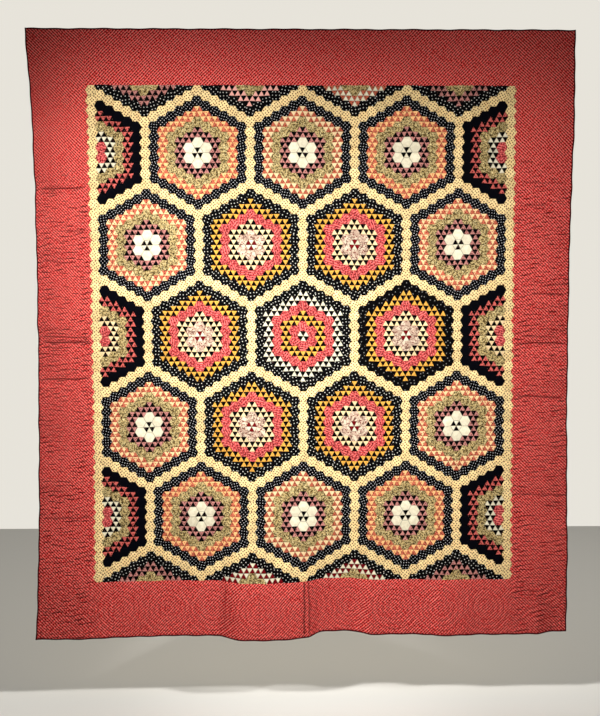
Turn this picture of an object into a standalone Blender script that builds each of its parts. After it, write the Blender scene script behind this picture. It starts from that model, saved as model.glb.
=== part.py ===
"""Hexagon mosaic quilt, hanging by its top edge.

The origin is the middle of the top edge, where the quilt is held. +X runs to the right
across the front, +Z up, and the front faces -Y. A place on the cloth is given as across,
from the middle line to the right, and down, from the top edge. Metres throughout.
"""

import math
from collections import namedtuple

import bmesh
import bpy

# Patchwork of the centre panel: hexagons with a flat top, in columns
HEX_SIDE = 0.0254
HEX_PITCH = HEX_SIDE * math.sqrt(3.0)
SIDE_COLUMN = 24
HEX_ROWS = 49
HANG_STRETCH = 1.017

# The widths of the pieces around the panel
TOP_BORDER = 0.243
BOTTOM_BORDER = 0.255
SIDE_BORDER = 0.245
BOTTOM_END = 0.086
BINDING_WIDTH = 0.0065

# The layers of cloth, and the gap that parts two pieces
CLOTH_THICKNESS = 0.004
BINDING_THICKNESS = 0.0056
SEAM_GAP = 0.0004
ON_THE_LINE = SEAM_GAP / 10.0

# How finely the sheets are divided
PANEL_CELLS = 28
BORDER_CELLS = 5

# The fall of the whole quilt away from the wall behind it
HEM_LEAN = 0.025
TOP_SLOPE = 0.003
TOP_SLOPE_REACH = 0.6

ROW_PITCH = HEX_PITCH * HANG_STRETCH
PANEL_HALF = HEX_SIDE * (1.5 * SIDE_COLUMN + 1.0)
SCALLOP_DEPTH = HEX_SIDE / 2.0
TOP_SEAM = TOP_BORDER
BOTTOM_SEAM = TOP_SEAM + HEX_ROWS * ROW_PITCH
HALF_WIDTH = PANEL_HALF + SIDE_BORDER
HEIGHT = BOTTOM_SEAM + BOTTOM_BORDER
CLOTH_HALF = HALF_WIDTH - BINDING_WIDTH - SEAM_GAP
CLOTH_TOP = BINDING_WIDTH + SEAM_GAP
CLOTH_BOTTOM = HEIGHT - BINDING_WIDTH - SEAM_GAP

# Where the side seams and the outer edges hang, measured from the middle line
Width = namedtuple("Width", "down left_edge left_seam right_seam right_edge")
WIDTHS = (
    Width(0.000, 1.208, 0.954, 0.940, 1.195),
    Width(0.390, 1.184, 0.947, 0.940, 1.196),
    Width(0.920, 1.174, 0.941, 0.939, 1.183),
    Width(1.340, 1.174, 0.940, 0.938, 1.181),
    Width(1.710, 1.177, 0.938, 0.938, 1.180),
    Width(2.340, 1.186, 0.940, 0.940, 1.189),
    Width(2.690, 1.200, 0.942, 0.943, 1.192),
)

# Folds that hang down to the hem, deepest at the hem and dying out at their reach above it
Fold = namedtuple("Fold", "name across left right forward drop reach")
FOLDS = (
    Fold("bulge", -0.215, 0.165, 0.290, 0.047, 0.006, 0.80),
    Fold("recess", 0.145, 0.125, 0.165, -0.024, -0.012, 0.50),
    Fold("right hollow", 0.390, 0.110, 0.190, -0.006, -0.001, 0.50),
    Fold("right ripple", 0.640, 0.070, 0.150, 0.009, 0.002, 0.45),
    Fold("left hollow", -0.470, 0.200, 0.120, -0.005, -0.001, 0.60),
    Fold("left corner", -1.200, 0.100, 0.480, 0.018, 0.005, 0.75),
    Fold("right corner", 1.194, 0.150, 0.100, -0.019, -0.008, 0.32),
)

# Creases that run in from the outer edge, with the side they are on: -1 left, 1 right
Crease = namedtuple("Crease", "side down depth half_height")
CREASES = (
    Crease(-1, 0.682, 0.004, 0.050),
    Crease(-1, 1.020, 0.003, 0.060),
    Crease(-1, 1.345, 0.006, 0.055),
    Crease(-1, 1.514, 0.005, 0.055),
    Crease(-1, 1.780, 0.003, 0.060),
    Crease(-1, 2.060, 0.004, 0.060),
    Crease(1, 0.740, 0.003, 0.055),
    Crease(1, 1.145, 0.004, 0.050),
    Crease(1, 1.364, 0.006, 0.060),
    Crease(1, 1.602, 0.005, 0.055),
    Crease(1, 1.880, 0.003, 0.055),
    Crease(1, 2.140, 0.004, 0.060),
)

# The slow ripple of the two side edges
RIPPLE_HEIGHT = 0.003
RIPPLE_LENGTH = 0.37
RIPPLE_REACH = 0.32


def clamp(value):
    return min(1.0, max(0.0, value))


def ease(value):
    """0 to 1 with a soft start and a soft end."""
    value = clamp(value)
    return value * value * (3.0 - 2.0 * value)


def swell(offset, before, after):
    """A fold's profile: 1 along its crown, and 0 past its reach on either side."""
    share = abs(offset) / (before if offset < 0.0 else after)
    return (1.0 - share**4) ** 2 if share < 1.0 else 0.0


def hang_width(down, column):
    """A column of WIDTHS at this height, on a smooth curve through its rows."""
    last = len(WIDTHS) - 1
    row = 0
    while row < last - 1 and down > WIDTHS[row + 1].down:
        row += 1
    ahead = WIDTHS[row + 1]
    here = WIDTHS[row]
    before = WIDTHS[max(row - 1, 0)]
    beyond = WIDTHS[min(row + 2, last)]
    span = ahead.down - here.down
    share = clamp((down - here.down) / span)
    value, target = getattr(here, column), getattr(ahead, column)
    start = (target - getattr(before, column)) / (ahead.down - before.down) * span
    end = (getattr(beyond, column) - value) / (beyond.down - here.down) * span
    square = share * share
    cube = square * share
    return (
        value * (2.0 * cube - 3.0 * square + 1.0)
        + start * (cube - 2.0 * square + share)
        + target * (3.0 * square - 2.0 * cube)
        + end * (cube - square)
    )


def forward(across, down):
    """How far the cloth stands out from the wall, towards the viewer."""
    out = HEM_LEAN * clamp(down / HEIGHT) ** 1.5
    for fold in FOLDS:
        rise = 1.0 - ease((HEIGHT - down) / fold.reach)
        out += fold.forward * rise * swell(across - fold.across, fold.left, fold.right)
    from_edge = HALF_WIDTH - abs(across)
    side = math.copysign(1.0, across)
    near = 1.0 - ease(from_edge / SIDE_BORDER)
    for crease in CREASES:
        if crease.side == side:
            out -= crease.depth * near * swell(down - crease.down, crease.half_height, crease.half_height)
    turn = 2.0 * math.pi * down / RIPPLE_LENGTH + side
    out += RIPPLE_HEIGHT * math.sin(turn) * (1.0 - ease(from_edge / RIPPLE_REACH)) * ease(down / RIPPLE_REACH)
    return out


def place(across, down):
    """The hung position of a point of the cloth's front."""
    side = "left" if across < 0.0 else "right"
    seam = hang_width(down, side + "_seam")
    beyond = abs(across) - PANEL_HALF
    if beyond <= 0.0:
        reach = abs(across) / PANEL_HALF * seam
    else:
        reach = seam + beyond / SIDE_BORDER * (hang_width(down, side + "_edge") - seam)
    x = math.copysign(reach, across)
    drop = TOP_SLOPE * x * (1.0 - ease(down / TOP_SLOPE_REACH))
    for fold in FOLDS:
        rise = 1.0 - ease((HEIGHT - down) / fold.reach)
        drop += fold.drop * rise * swell(across - fold.across, fold.left, fold.right)
    return x, -forward(across, down), -(down + drop)


def spaced(start, end, cells):
    """Evenly spaced values, both ends included."""
    return [start + (end - start) * step / cells for step in range(cells + 1)]


def joined(*runs):
    """Runs of spaced values that share their ends, as one list."""
    values = list(runs[0])
    for run in runs[1:]:
        values += run[1:]
    return values


def finish(name, red, green, blue, roughness):
    material = bpy.data.materials.new(name)
    material.use_nodes = True
    material.diffuse_color = (red, green, blue, 1.0)
    shader = material.node_tree.nodes["Principled BSDF"]
    shader.inputs["Base Color"].default_value = (red, green, blue, 1.0)
    shader.inputs["Roughness"].default_value = roughness
    shader.inputs["Metallic"].default_value = 0.0
    return material


def scallop(mesh, line):
    """Turn a straight side seam into the zigzag of the outermost column of hexagons."""

    def on_seam(vert):
        beside_panel = TOP_SEAM - SEAM_GAP <= vert.co.y <= BOTTOM_SEAM + SEAM_GAP
        return beside_panel and abs(abs(vert.co.x) - line) < ON_THE_LINE

    seam = [edge for edge in mesh.edges if all(on_seam(vert) for vert in edge.verts)]
    bmesh.ops.subdivide_edges(mesh, edges=seam, cuts=1)
    for vert in filter(on_seam, mesh.verts[:]):
        half_rows_down = round((vert.co.y - TOP_SEAM) / ROW_PITCH * 2.0)
        if half_rows_down % 2 == 0:
            vert.co.x -= math.copysign(SCALLOP_DEPTH, vert.co.x)


def sheet(name, columns, rows, material, seam_line=PANEL_HALF, thickness=CLOTH_THICKNESS):
    """A sheet of cloth over the given columns and rows, hung in its folds."""
    mesh = bmesh.new()
    across_cells, down_cells = len(columns) - 1, len(rows) - 1
    bmesh.ops.create_grid(mesh, x_segments=across_cells, y_segments=down_cells, size=0.5)
    for vert in mesh.verts:
        column = round((vert.co.x + 0.5) * across_cells)
        row = round((0.5 - vert.co.y) * down_cells)
        vert.co = (columns[column], rows[row], 0.0)
    scallop(mesh, seam_line)
    for vert in mesh.verts:
        vert.co = place(vert.co.x, vert.co.y)
    bmesh.ops.translate(mesh, verts=mesh.verts, vec=(0.0, (CLOTH_THICKNESS - thickness) / 2.0, 0.0))
    behind = bmesh.ops.extrude_face_region(mesh, geom=mesh.faces[:])
    moved = [item for item in behind["geom"] if isinstance(item, bmesh.types.BMVert)]
    bmesh.ops.translate(mesh, verts=moved, vec=(0.0, thickness, 0.0))
    bmesh.ops.triangulate(mesh, faces=mesh.faces[:])
    bmesh.ops.recalc_face_normals(mesh, faces=mesh.faces[:])
    data = bpy.data.meshes.new(name)
    mesh.to_mesh(data)
    mesh.free()
    data.materials.append(material)
    piece = bpy.data.objects.new(name, data)
    quilt.objects.link(piece)
    return piece


def panel_rows():
    return spaced(TOP_SEAM, BOTTOM_SEAM, HEX_ROWS)


def full_rows(top, bottom):
    """The rows of a piece that runs the whole height, on the panel's own rows beside it."""
    return joined(
        spaced(top, TOP_SEAM, BORDER_CELLS),
        panel_rows(),
        spaced(BOTTOM_SEAM, bottom, BORDER_CELLS),
    )


def build_panel(patchwork):
    rows = panel_rows()
    rows[0] += SEAM_GAP / 2.0
    rows[-1] -= SEAM_GAP / 2.0
    sheet("centre_panel", spaced(-PANEL_HALF, PANEL_HALF, PANEL_CELLS), rows, patchwork)


def build_borders(calico):
    inner = PANEL_HALF + SEAM_GAP
    for name, side in (("border_left", -1), ("border_right", 1)):
        columns = sorted(side * value for value in spaced(inner, CLOTH_HALF, BORDER_CELLS))
        sheet(name, columns, full_rows(CLOTH_TOP, CLOTH_BOTTOM), calico, seam_line=inner)
    columns = spaced(-PANEL_HALF, PANEL_HALF, PANEL_CELLS)
    top_rows = spaced(CLOTH_TOP, TOP_SEAM - SEAM_GAP / 2.0, BORDER_CELLS)
    sheet("border_top", columns, top_rows, calico)
    bottom_rows = spaced(BOTTOM_SEAM + SEAM_GAP / 2.0, CLOTH_BOTTOM, BORDER_CELLS)
    cut = -PANEL_HALF + BOTTOM_END
    cell = columns[1] - columns[0]
    main_columns = [value for value in columns if value > cut + cell / 2.0]
    end_columns = [value for value in columns if value < cut - cell / 4.0]
    sheet("border_bottom", [cut + SEAM_GAP] + main_columns, bottom_rows, calico)
    sheet("border_bottom_end", end_columns + [cut], bottom_rows, calico)


def build_binding(tape):
    outer_rows = full_rows(0.0, HEIGHT)
    for name, side in (("binding_left", -1), ("binding_right", 1)):
        columns = sorted((side * (CLOTH_HALF + SEAM_GAP), side * HALF_WIDTH))
        sheet(name, columns, outer_rows, tape, thickness=BINDING_THICKNESS)
    columns = joined(
        spaced(-CLOTH_HALF, -PANEL_HALF, BORDER_CELLS),
        spaced(-PANEL_HALF, PANEL_HALF, PANEL_CELLS),
        spaced(PANEL_HALF, CLOTH_HALF, BORDER_CELLS),
    )
    sheet("binding_top", columns, [0.0, BINDING_WIDTH], tape, thickness=BINDING_THICKNESS)
    sheet("binding_bottom", columns, [HEIGHT - BINDING_WIDTH, HEIGHT], tape, thickness=BINDING_THICKNESS)


for old in list(bpy.data.objects):
    bpy.data.objects.remove(old, do_unlink=True)
quilt = bpy.data.collections.new("hexagon_quilt")
bpy.context.scene.collection.children.link(quilt)

build_panel(finish("patchwork_cotton", 0.60, 0.42, 0.28, 0.9))
build_borders(finish("red_calico", 0.56, 0.10, 0.11, 0.9))
build_binding(finish("dark_red_binding", 0.12, 0.02, 0.02, 0.85))
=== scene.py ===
"""The hexagon quilt as it hangs: pieced mosaic patchwork, quilted calico borders, binding and back."""

from __future__ import annotations

import logging
import math
from collections.abc import Callable, Sequence
from dataclasses import dataclass, field, replace
from enum import Enum

import bmesh
import bpy
import numpy as np
from mathutils import Matrix, Vector


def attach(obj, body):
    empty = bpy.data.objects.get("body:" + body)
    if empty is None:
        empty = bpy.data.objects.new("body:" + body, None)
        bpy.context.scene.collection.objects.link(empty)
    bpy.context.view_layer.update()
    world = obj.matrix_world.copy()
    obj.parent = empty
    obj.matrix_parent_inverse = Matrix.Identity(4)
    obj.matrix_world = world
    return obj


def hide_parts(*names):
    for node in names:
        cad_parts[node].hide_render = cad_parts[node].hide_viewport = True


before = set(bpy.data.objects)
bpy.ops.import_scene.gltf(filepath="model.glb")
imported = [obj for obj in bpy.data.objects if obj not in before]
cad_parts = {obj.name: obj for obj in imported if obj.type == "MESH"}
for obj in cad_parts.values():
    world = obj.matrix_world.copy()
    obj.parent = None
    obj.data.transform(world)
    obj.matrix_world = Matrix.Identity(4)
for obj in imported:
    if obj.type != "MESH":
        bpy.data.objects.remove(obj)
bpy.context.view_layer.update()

BODY = "root"
MM = 0.001
SIXTH_TURN = 60.0

Array = np.ndarray
Colour = tuple[float, float, float]
Point = tuple[float, float, float]
log = logging.getLogger("hexagon_quilt")


def dye(red: int, green: int, blue: int) -> Colour:
    """A colour as the eye reads it, 0 to 255, in the linear values that a material takes.

    Args:
        red: its red.
        green: its green.
        blue: its blue.

    Returns:
        The three values, linear.
    """

    def linear(value: int) -> float:
        """One channel, linear."""
        share = value / 255.0
        return share / 12.92 if share <= 0.04045 else ((share + 0.055) / 1.055) ** 2.4

    return linear(red), linear(green), linear(blue)


def ease(value: Array) -> Array:
    """0 to 1 with a soft start and a soft end."""
    value = np.clip(value, 0.0, 1.0)
    return value * value * (3.0 - 2.0 * value)


@dataclass(frozen=True)
class Width:
    """Half widths of the hung quilt at one height, to its edges and to its panel seams."""

    down: float
    left_edge: float
    left_seam: float
    right_seam: float
    right_edge: float


@dataclass(frozen=True)
class Fold:
    """A swell or hollow that rises from the hem and fades out up the quilt."""

    name: str
    across: float
    left: float
    right: float
    forward: float
    drop: float
    reach: float


@dataclass(frozen=True)
class Crease:
    """A soft dent that runs in from a side edge."""

    side: int
    down: float
    depth: float
    half_height: float


@dataclass(frozen=True)
class QuiltSizes:
    """The cut sizes of the quilt, in metres, and how much the panel has stretched in hanging."""

    hex_side: float = 0.0254
    side_column: int = 24
    hex_rows: int = 49
    hang_stretch: float = 1.017
    top_border: float = 0.243
    bottom_border: float = 0.255
    side_border: float = 0.245
    bottom_end: float = 0.086
    binding_width: float = 0.0065
    thickness: float = 0.004

    @property
    def hex_pitch(self) -> float:
        """From one hexagon to the next above it, as cut."""
        return self.hex_side * math.sqrt(3.0)

    @property
    def row_pitch(self) -> float:
        """From one hexagon to the next above it, as hung."""
        return self.hex_pitch * self.hang_stretch

    @property
    def scallop(self) -> float:
        """How far the outermost hexagons' side corners stand out past their flats."""
        return self.hex_side / 2.0

    @property
    def panel_half(self) -> float:
        """From the middle to the outermost corners of the patchwork."""
        return self.hex_side * (1.5 * self.side_column + 1.0)

    @property
    def top_seam(self) -> float:
        """From the top edge down to the patchwork."""
        return self.top_border

    @property
    def bottom_seam(self) -> float:
        """From the top edge down to the patchwork's lower end."""
        return self.top_seam + self.hex_rows * self.row_pitch

    @property
    def half_width(self) -> float:
        """From the middle to the side edge."""
        return self.panel_half + self.side_border

    @property
    def height(self) -> float:
        """From the top edge to the hem, as hung."""
        return self.bottom_seam + self.bottom_border

    @property
    def cut_height(self) -> float:
        """From the top edge to the hem, before the panel stretched."""
        return self.top_border + self.hex_rows * self.hex_pitch + self.bottom_border

    def down_of(self, lattice_y: Array) -> Array:
        """The distance down the hung quilt of a height on the hexagon lattice."""
        half = self.hex_rows / 2.0 * self.hex_pitch
        return self.top_seam + (half - lattice_y) * self.hang_stretch

    def lattice_y_of(self, down: Array) -> Array:
        """The height on the hexagon lattice of a distance down the hung quilt."""
        half = self.hex_rows / 2.0 * self.hex_pitch
        return half - (down - self.top_seam) / self.hang_stretch

    def outline(self, down: Array) -> Array:
        """The zigzag edge of the patchwork at this height, from the middle."""
        rows = (down - self.top_seam) / self.row_pitch
        return self.panel_half - self.scallop * np.abs(2.0 * (rows - np.floor(rows)) - 1.0)

    def inside_seam(self, across: Array, down: Array) -> Array:
        """How far a point lies inside its own hexagon's seam.

        Args:
            across: distances to the right of the middle.
            down: distances down from the top edge.

        Returns:
            One distance for each point, as cut.
        """
        side, x, y = self.hex_side, across, self.lattice_y_of(down)
        q, r = x / 1.5 / side, (y / math.sqrt(3.0) - x / 3.0) / side
        near_q, near_r, near_s = np.round(q), np.round(r), np.round(-q - r)
        off_q, off_r, off_s = np.abs(near_q - q), np.abs(near_r - r), np.abs(near_s + q + r)
        wrong_q = (off_q > off_r) & (off_q > off_s)
        wrong_r = ~wrong_q & (off_r > off_s)
        near_q = np.where(wrong_q, -near_r - near_s, near_q)
        near_r = np.where(wrong_r, -near_q - near_s, near_r)
        off_x = np.abs(x - 1.5 * side * near_q)
        off_y = np.abs(y - self.hex_pitch * (near_r + near_q / 2.0))
        return self.hex_pitch / 2.0 - np.maximum(off_y, off_x * math.sqrt(0.75) + off_y / 2.0)


@dataclass(frozen=True)
class Wander:
    """How the cloth's grain strays one way, as two waves added together.

    turn is how fast the first wave runs, bend how far it is bent by the place on the other way,
    bend_turn how fast that bend comes and goes, and slow_turn and slow_start the second wave's
    run and start. Each turn is a share of the drape's own.
    """

    turn: float
    bend: float
    bend_turn: float
    slow_turn: float
    slow_start: float

    def strayed(self, full_turn: float, along: Array, aside: Array) -> Array:
        """How far the grain has strayed, from -2 to 2.

        Args:
            full_turn: the drape's turn for each metre.
            along: places on the way that the waves run.
            aside: places on the other way.

        Returns:
            One value for each place.
        """
        bent = self.bend * np.sin(full_turn * self.bend_turn * aside)
        slow = np.sin(full_turn * self.slow_turn * along + self.slow_start)
        return np.sin(full_turn * self.turn * along + bent) + slow


@dataclass(frozen=True)
class Drape:
    """How the quilt hangs: its uneven width, the folds at its hem and the dents of its sides."""

    sizes: QuiltSizes
    hem_lean: float = 0.025
    hem_curve: float = 1.5
    top_slope: float = 0.003
    top_slope_reach: float = 0.6
    ripple_height: float = 0.003
    ripple_length: float = 0.37
    ripple_reach: float = 0.32
    wander: float = 0.9 * MM
    wander_length: float = 0.11
    wander_across: Wander = Wander(1.0, 1.3, 0.61, 0.47, 2.0)
    wander_down: Wander = Wander(1.07, 1.1, 0.53, 0.41, 0.0)
    widths: tuple[Width, ...] = (
        Width(0.000, 1.208, 0.954, 0.940, 1.195),
        Width(0.390, 1.184, 0.947, 0.940, 1.196),
        Width(0.920, 1.174, 0.941, 0.939, 1.183),
        Width(1.340, 1.174, 0.940, 0.938, 1.181),
        Width(1.710, 1.177, 0.938, 0.938, 1.180),
        Width(2.340, 1.186, 0.940, 0.940, 1.189),
        Width(2.690, 1.200, 0.942, 0.943, 1.192),
    )
    folds: tuple[Fold, ...] = (
        Fold("bulge", -0.215, 0.165, 0.290, 0.047, 0.006, 0.80),
        Fold("recess", 0.145, 0.125, 0.165, -0.024, -0.012, 0.50),
        Fold("right hollow", 0.390, 0.110, 0.190, -0.006, -0.001, 0.50),
        Fold("right ripple", 0.640, 0.070, 0.150, 0.009, 0.002, 0.45),
        Fold("left hollow", -0.470, 0.200, 0.120, -0.005, -0.001, 0.60),
        Fold("left corner", -1.200, 0.100, 0.480, 0.018, 0.005, 0.75),
        Fold("right corner", 1.194, 0.150, 0.100, -0.019, -0.008, 0.32),
    )
    creases: tuple[Crease, ...] = (
        Crease(-1, 0.682, 0.004, 0.050),
        Crease(-1, 1.020, 0.003, 0.060),
        Crease(-1, 1.345, 0.006, 0.055),
        Crease(-1, 1.514, 0.005, 0.055),
        Crease(-1, 1.780, 0.003, 0.060),
        Crease(-1, 2.060, 0.004, 0.060),
        Crease(1, 0.740, 0.003, 0.055),
        Crease(1, 1.145, 0.004, 0.050),
        Crease(1, 1.364, 0.006, 0.060),
        Crease(1, 1.602, 0.005, 0.055),
        Crease(1, 1.880, 0.003, 0.055),
        Crease(1, 2.140, 0.004, 0.060),
    )

    def hang_width(self, down: Array, column: str) -> Array:
        """A column of the widths at these heights.

        Args:
            down: distances down from the top edge.
            column: the name of a field of Width.

        Returns:
            The half widths, on a smooth curve through the table's rows.
        """
        heights = np.array([row.down for row in self.widths])
        values = np.array([getattr(row, column) for row in self.widths])
        last = len(values) - 1
        here = np.searchsorted(heights[1:last], down, side="left")
        before, ahead, beyond = np.maximum(here - 1, 0), here + 1, np.minimum(here + 2, last)
        span = heights[ahead] - heights[here]
        share = np.clip((down - heights[here]) / span, 0.0, 1.0)
        start = (values[ahead] - values[before]) / (heights[ahead] - heights[before]) * span
        end = (values[beyond] - values[here]) / (heights[beyond] - heights[here]) * span
        square, cube = share**2, share**3
        return (
            values[here] * (2.0 * cube - 3.0 * square + 1.0)
            + start * (cube - 2.0 * square + share)
            + values[ahead] * (3.0 * square - 2.0 * cube)
            + end * (cube - square)
        )

    @staticmethod
    def swell(offset: Array, before: float, after: float) -> Array:
        """A fold's profile: 1 along its crown, and 0 past its reach on either side."""
        share = np.abs(offset) / np.where(offset < 0.0, before, after)
        return np.where(share < 1.0, (1.0 - np.minimum(share, 1.0) ** 4) ** 2, 0.0)

    def forward(self, across: Array, down: Array) -> Array:
        """How far the cloth stands out from its upright plane, towards the viewer.

        Args:
            across: distances to the right of the middle.
            down: distances down from the top edge.

        Returns:
            One distance for each point.
        """
        height = self.sizes.height
        out = self.hem_lean * np.clip(down / height, 0.0, 1.0) ** self.hem_curve
        for fold in self.folds:
            rise = 1.0 - ease((height - down) / fold.reach)
            out = out + fold.forward * rise * self.swell(across - fold.across, fold.left, fold.right)
        from_edge = self.sizes.half_width - np.abs(across)
        side = np.where(across < 0.0, -1.0, 1.0)
        near = 1.0 - ease(from_edge / self.sizes.side_border)
        for crease in self.creases:
            hollow = self.swell(down - crease.down, crease.half_height, crease.half_height)
            out = out - np.where(side == crease.side, crease.depth * near * hollow, 0.0)
        turn = 2.0 * math.pi * down / self.ripple_length + side
        fade = (1.0 - ease(from_edge / self.ripple_reach)) * ease(down / self.ripple_reach)
        return out + self.ripple_height * np.sin(turn) * fade

    def place(self, across: Array, down: Array, height: Array) -> Array:
        """Hangs points of the cloth.

        Args:
            across: distances to the right of the middle, as cut.
            down: distances down from the top edge.
            height: how far each point stands proud of the cloth's front.

        Returns:
            The points' places in the room, one row each.
        """
        turn = 2.0 * math.pi / self.wander_length
        strayed_across = self.wander_across.strayed(turn, down, across)
        strayed_down = self.wander_down.strayed(turn, across, down)
        across, down = across + self.wander * strayed_across, down + self.wander * strayed_down
        sizes = self.sizes
        left = across < 0.0
        seam = np.where(left, self.hang_width(down, "left_seam"), self.hang_width(down, "right_seam"))
        edge = np.where(left, self.hang_width(down, "left_edge"), self.hang_width(down, "right_edge"))
        beyond = np.abs(across) - sizes.panel_half
        inner = np.abs(across) / sizes.panel_half * seam
        reach = np.where(beyond <= 0.0, inner, seam + beyond / sizes.side_border * (edge - seam))
        x = np.where(left, -reach, reach)
        drop = self.top_slope * x * (1.0 - ease(down / self.top_slope_reach))
        for fold in self.folds:
            rise = 1.0 - ease((sizes.height - down) / fold.reach)
            drop = drop + fold.drop * rise * self.swell(across - fold.across, fold.left, fold.right)
        return np.stack([x, -self.forward(across, down) - height, -(down + drop)], axis=1)


class Number:
    """A value in a material. Arithmetic on it adds the Math nodes that work it out."""

    def __init__(self, nodes: "NodeTable", socket: bpy.types.NodeSocket) -> None:
        """Wraps a socket of a node in the table."""
        self.nodes = nodes
        self.socket = socket

    def math(self, operation: str, *others: "Number | float") -> "Number":
        """The result of one Math node, with this value first."""
        return self.nodes.math(operation, self, *others)

    def __add__(self, other: "Number | float") -> "Number":
        """Sum."""
        return self.math("ADD", other)

    __radd__ = __add__

    def __sub__(self, other: "Number | float") -> "Number":
        """Difference."""
        return self.math("SUBTRACT", other)

    def __rsub__(self, other: float) -> "Number":
        """A plain number less this value."""
        return self.nodes.math("SUBTRACT", other, self)

    def __mul__(self, other: "Number | float") -> "Number":
        """Product."""
        return self.math("MULTIPLY", other)

    __rmul__ = __mul__

    def step(self, low: float, high: float) -> "Number":
        """0 below low and 1 above high, eased between them; high may be the lower one.

        Args:
            low: where the step starts.
            high: where it ends.

        Returns:
            The eased value.
        """
        if low > high:
            return 1.0 - self.step(high, low)
        settings = {"interpolation_type": "SMOOTHSTEP"}
        values = {"Value": self, "From Min": low, "From Max": high}
        return self.nodes.number("ShaderNodeMapRange", settings, values)


class NodeTable:
    """The node tree of one material, or of the room's light."""

    def __init__(self, owner: bpy.types.Material | bpy.types.World) -> None:
        """Empties the owner's tree.

        Args:
            owner: the material or the world.
        """
        owner.use_nodes = True
        self.owner = owner
        self.tree = owner.node_tree
        self.tree.nodes.clear()

    def node(self, kind: str, settings: dict | None = None, values: dict | None = None) -> bpy.types.Node:
        """Adds a node.

        Args:
            kind: the node's type.
            settings: properties of the node, set before its sockets.
            values: what goes into each input, by the input's identifier: a number, a colour, a
                Number or another node's output.

        Returns:
            The node.
        """
        made = self.tree.nodes.new(kind)
        for name, value in (settings or {}).items():
            setattr(made, name, value)
        sockets = {socket.identifier: socket for socket in made.inputs}
        for name, value in (values or {}).items():
            value = value.socket if isinstance(value, Number) else value
            if isinstance(value, bpy.types.NodeSocket):
                self.tree.links.new(value, sockets[name])
            else:
                sockets[name].default_value = value
        return made

    def number(self, kind: str, settings: dict, values: dict, output: int = 0) -> Number:
        """Adds a node and takes one of its outputs as a value."""
        return Number(self, self.node(kind, settings, values).outputs[output])

    def math(self, operation: str, *terms: Number | float) -> Number:
        """Adds a Math node on these terms."""
        names = ("Value", "Value_001", "Value_002")
        return self.number("ShaderNodeMath", {"operation": operation}, dict(zip(names, terms)))

    def noise(self, where: bpy.types.NodeSocket, scale: float, detail: float = 2.0) -> Number:
        """Smooth noise over the cloth, with features of about 1 / scale metres."""
        values = {"Vector": where, "Scale": scale, "Detail": detail}
        return self.number("ShaderNodeTexNoise", {"noise_dimensions": "2D"}, values)

    def attribute(self, name: str) -> Number:
        """A value kept on the mesh's points or faces."""
        return self.number("ShaderNodeAttribute", {"attribute_name": name}, {}, output=2)

    def mapped(
        self, where: bpy.types.NodeSocket, pitch: Sequence[float], turn: float
    ) -> bpy.types.NodeSocket:
        """Coordinates in which one pitch is one unit, turned by an angle in degrees."""
        values = {"Vector": where, "Rotation": (0.0, 0.0, math.radians(turn)), "Scale": (*pitch, 1.0)}
        return self.node("ShaderNodeMapping", {"vector_type": "TEXTURE"}, values).outputs[0]

    def mix(self, factor: Number | float, first: object, second: object) -> bpy.types.NodeSocket:
        """A colour between two others.

        Args:
            factor: how far it is from the first to the second.
            first: a colour or an output.
            second: a colour or an output.

        Returns:
            The output that holds the mixed colour.
        """
        values = {
            "Factor_Float": factor,
            "A_Color": (*first, 1.0) if isinstance(first, tuple) else first,
            "B_Color": (*second, 1.0) if isinstance(second, tuple) else second,
        }
        made = self.node("ShaderNodeMix", {"data_type": "RGBA"}, values)
        return next(socket for socket in made.outputs if socket.identifier == "Result_Color")

    def scaled(self, colour: object, factor: Number) -> bpy.types.NodeSocket:
        """A colour made lighter or darker."""
        values = {"Vector": colour, "Scale": factor}
        return self.node("ShaderNodeVectorMath", {"operation": "SCALE"}, values).outputs[0]


@dataclass(frozen=True)
class Motif:
    """A small printed mark that repeats on a grid.

    pitch is the grid's spacing across and along, turn its angle in degrees, scatter how far
    marks leave their places from 0 to 1, and size a mark's radius as a share of the pitch.
    """

    colour: Colour
    pitch: tuple[float, float]
    turn: float
    size: float
    scatter: float = 0.12
    softness: float = 0.3
    strength: float = 1.0

    def mask(self, nodes: NodeTable, where: bpy.types.NodeSocket) -> Number:
        """1 on the marks and 0 between them.

        Args:
            nodes: the material's nodes.
            where: the place on the cloth.

        Returns:
            The mask.
        """
        turned = nodes.mapped(where, self.pitch, self.turn)
        values = {"Vector": turned, "Scale": 1.0, "Randomness": self.scatter}
        away = nodes.number("ShaderNodeTexVoronoi", {"voronoi_dimensions": "2D"}, values)
        rim, core = self.size * (1.0 + self.softness), self.size * (1.0 - self.softness)
        return away.step(rim, core) * self.strength


@dataclass(frozen=True)
class Stripe:
    """Printed lines, side by side, at an angle in degrees from the cloth's width.

    width is half a line's width as a share of the pitch, core how much of it is full colour,
    wobble how far the lines stray, and wobble_scale how soon, both as shares of the pitch.
    """

    colour: Colour
    pitch: float
    turn: float
    width: float
    strength: float = 1.0
    core: float = 0.3
    wobble: float = 0.5
    wobble_scale: float = 0.35

    def mask(self, nodes: NodeTable, where: bpy.types.NodeSocket) -> Number:
        """1 on the lines and 0 between them.

        Args:
            nodes: the material's nodes.
            where: the place on the cloth.

        Returns:
            The mask.
        """
        turned = nodes.mapped(where, (self.pitch, self.pitch), self.turn)
        along = nodes.number("ShaderNodeSeparateXYZ", {}, {"Vector": turned}, output=1)
        stray = nodes.noise(where, self.wobble_scale / self.pitch) - 0.5
        away = ((along + stray * self.wobble).math("FRACT") - 0.5).math("ABSOLUTE")
        return away.step(self.width, self.width * self.core) * self.strength


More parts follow.
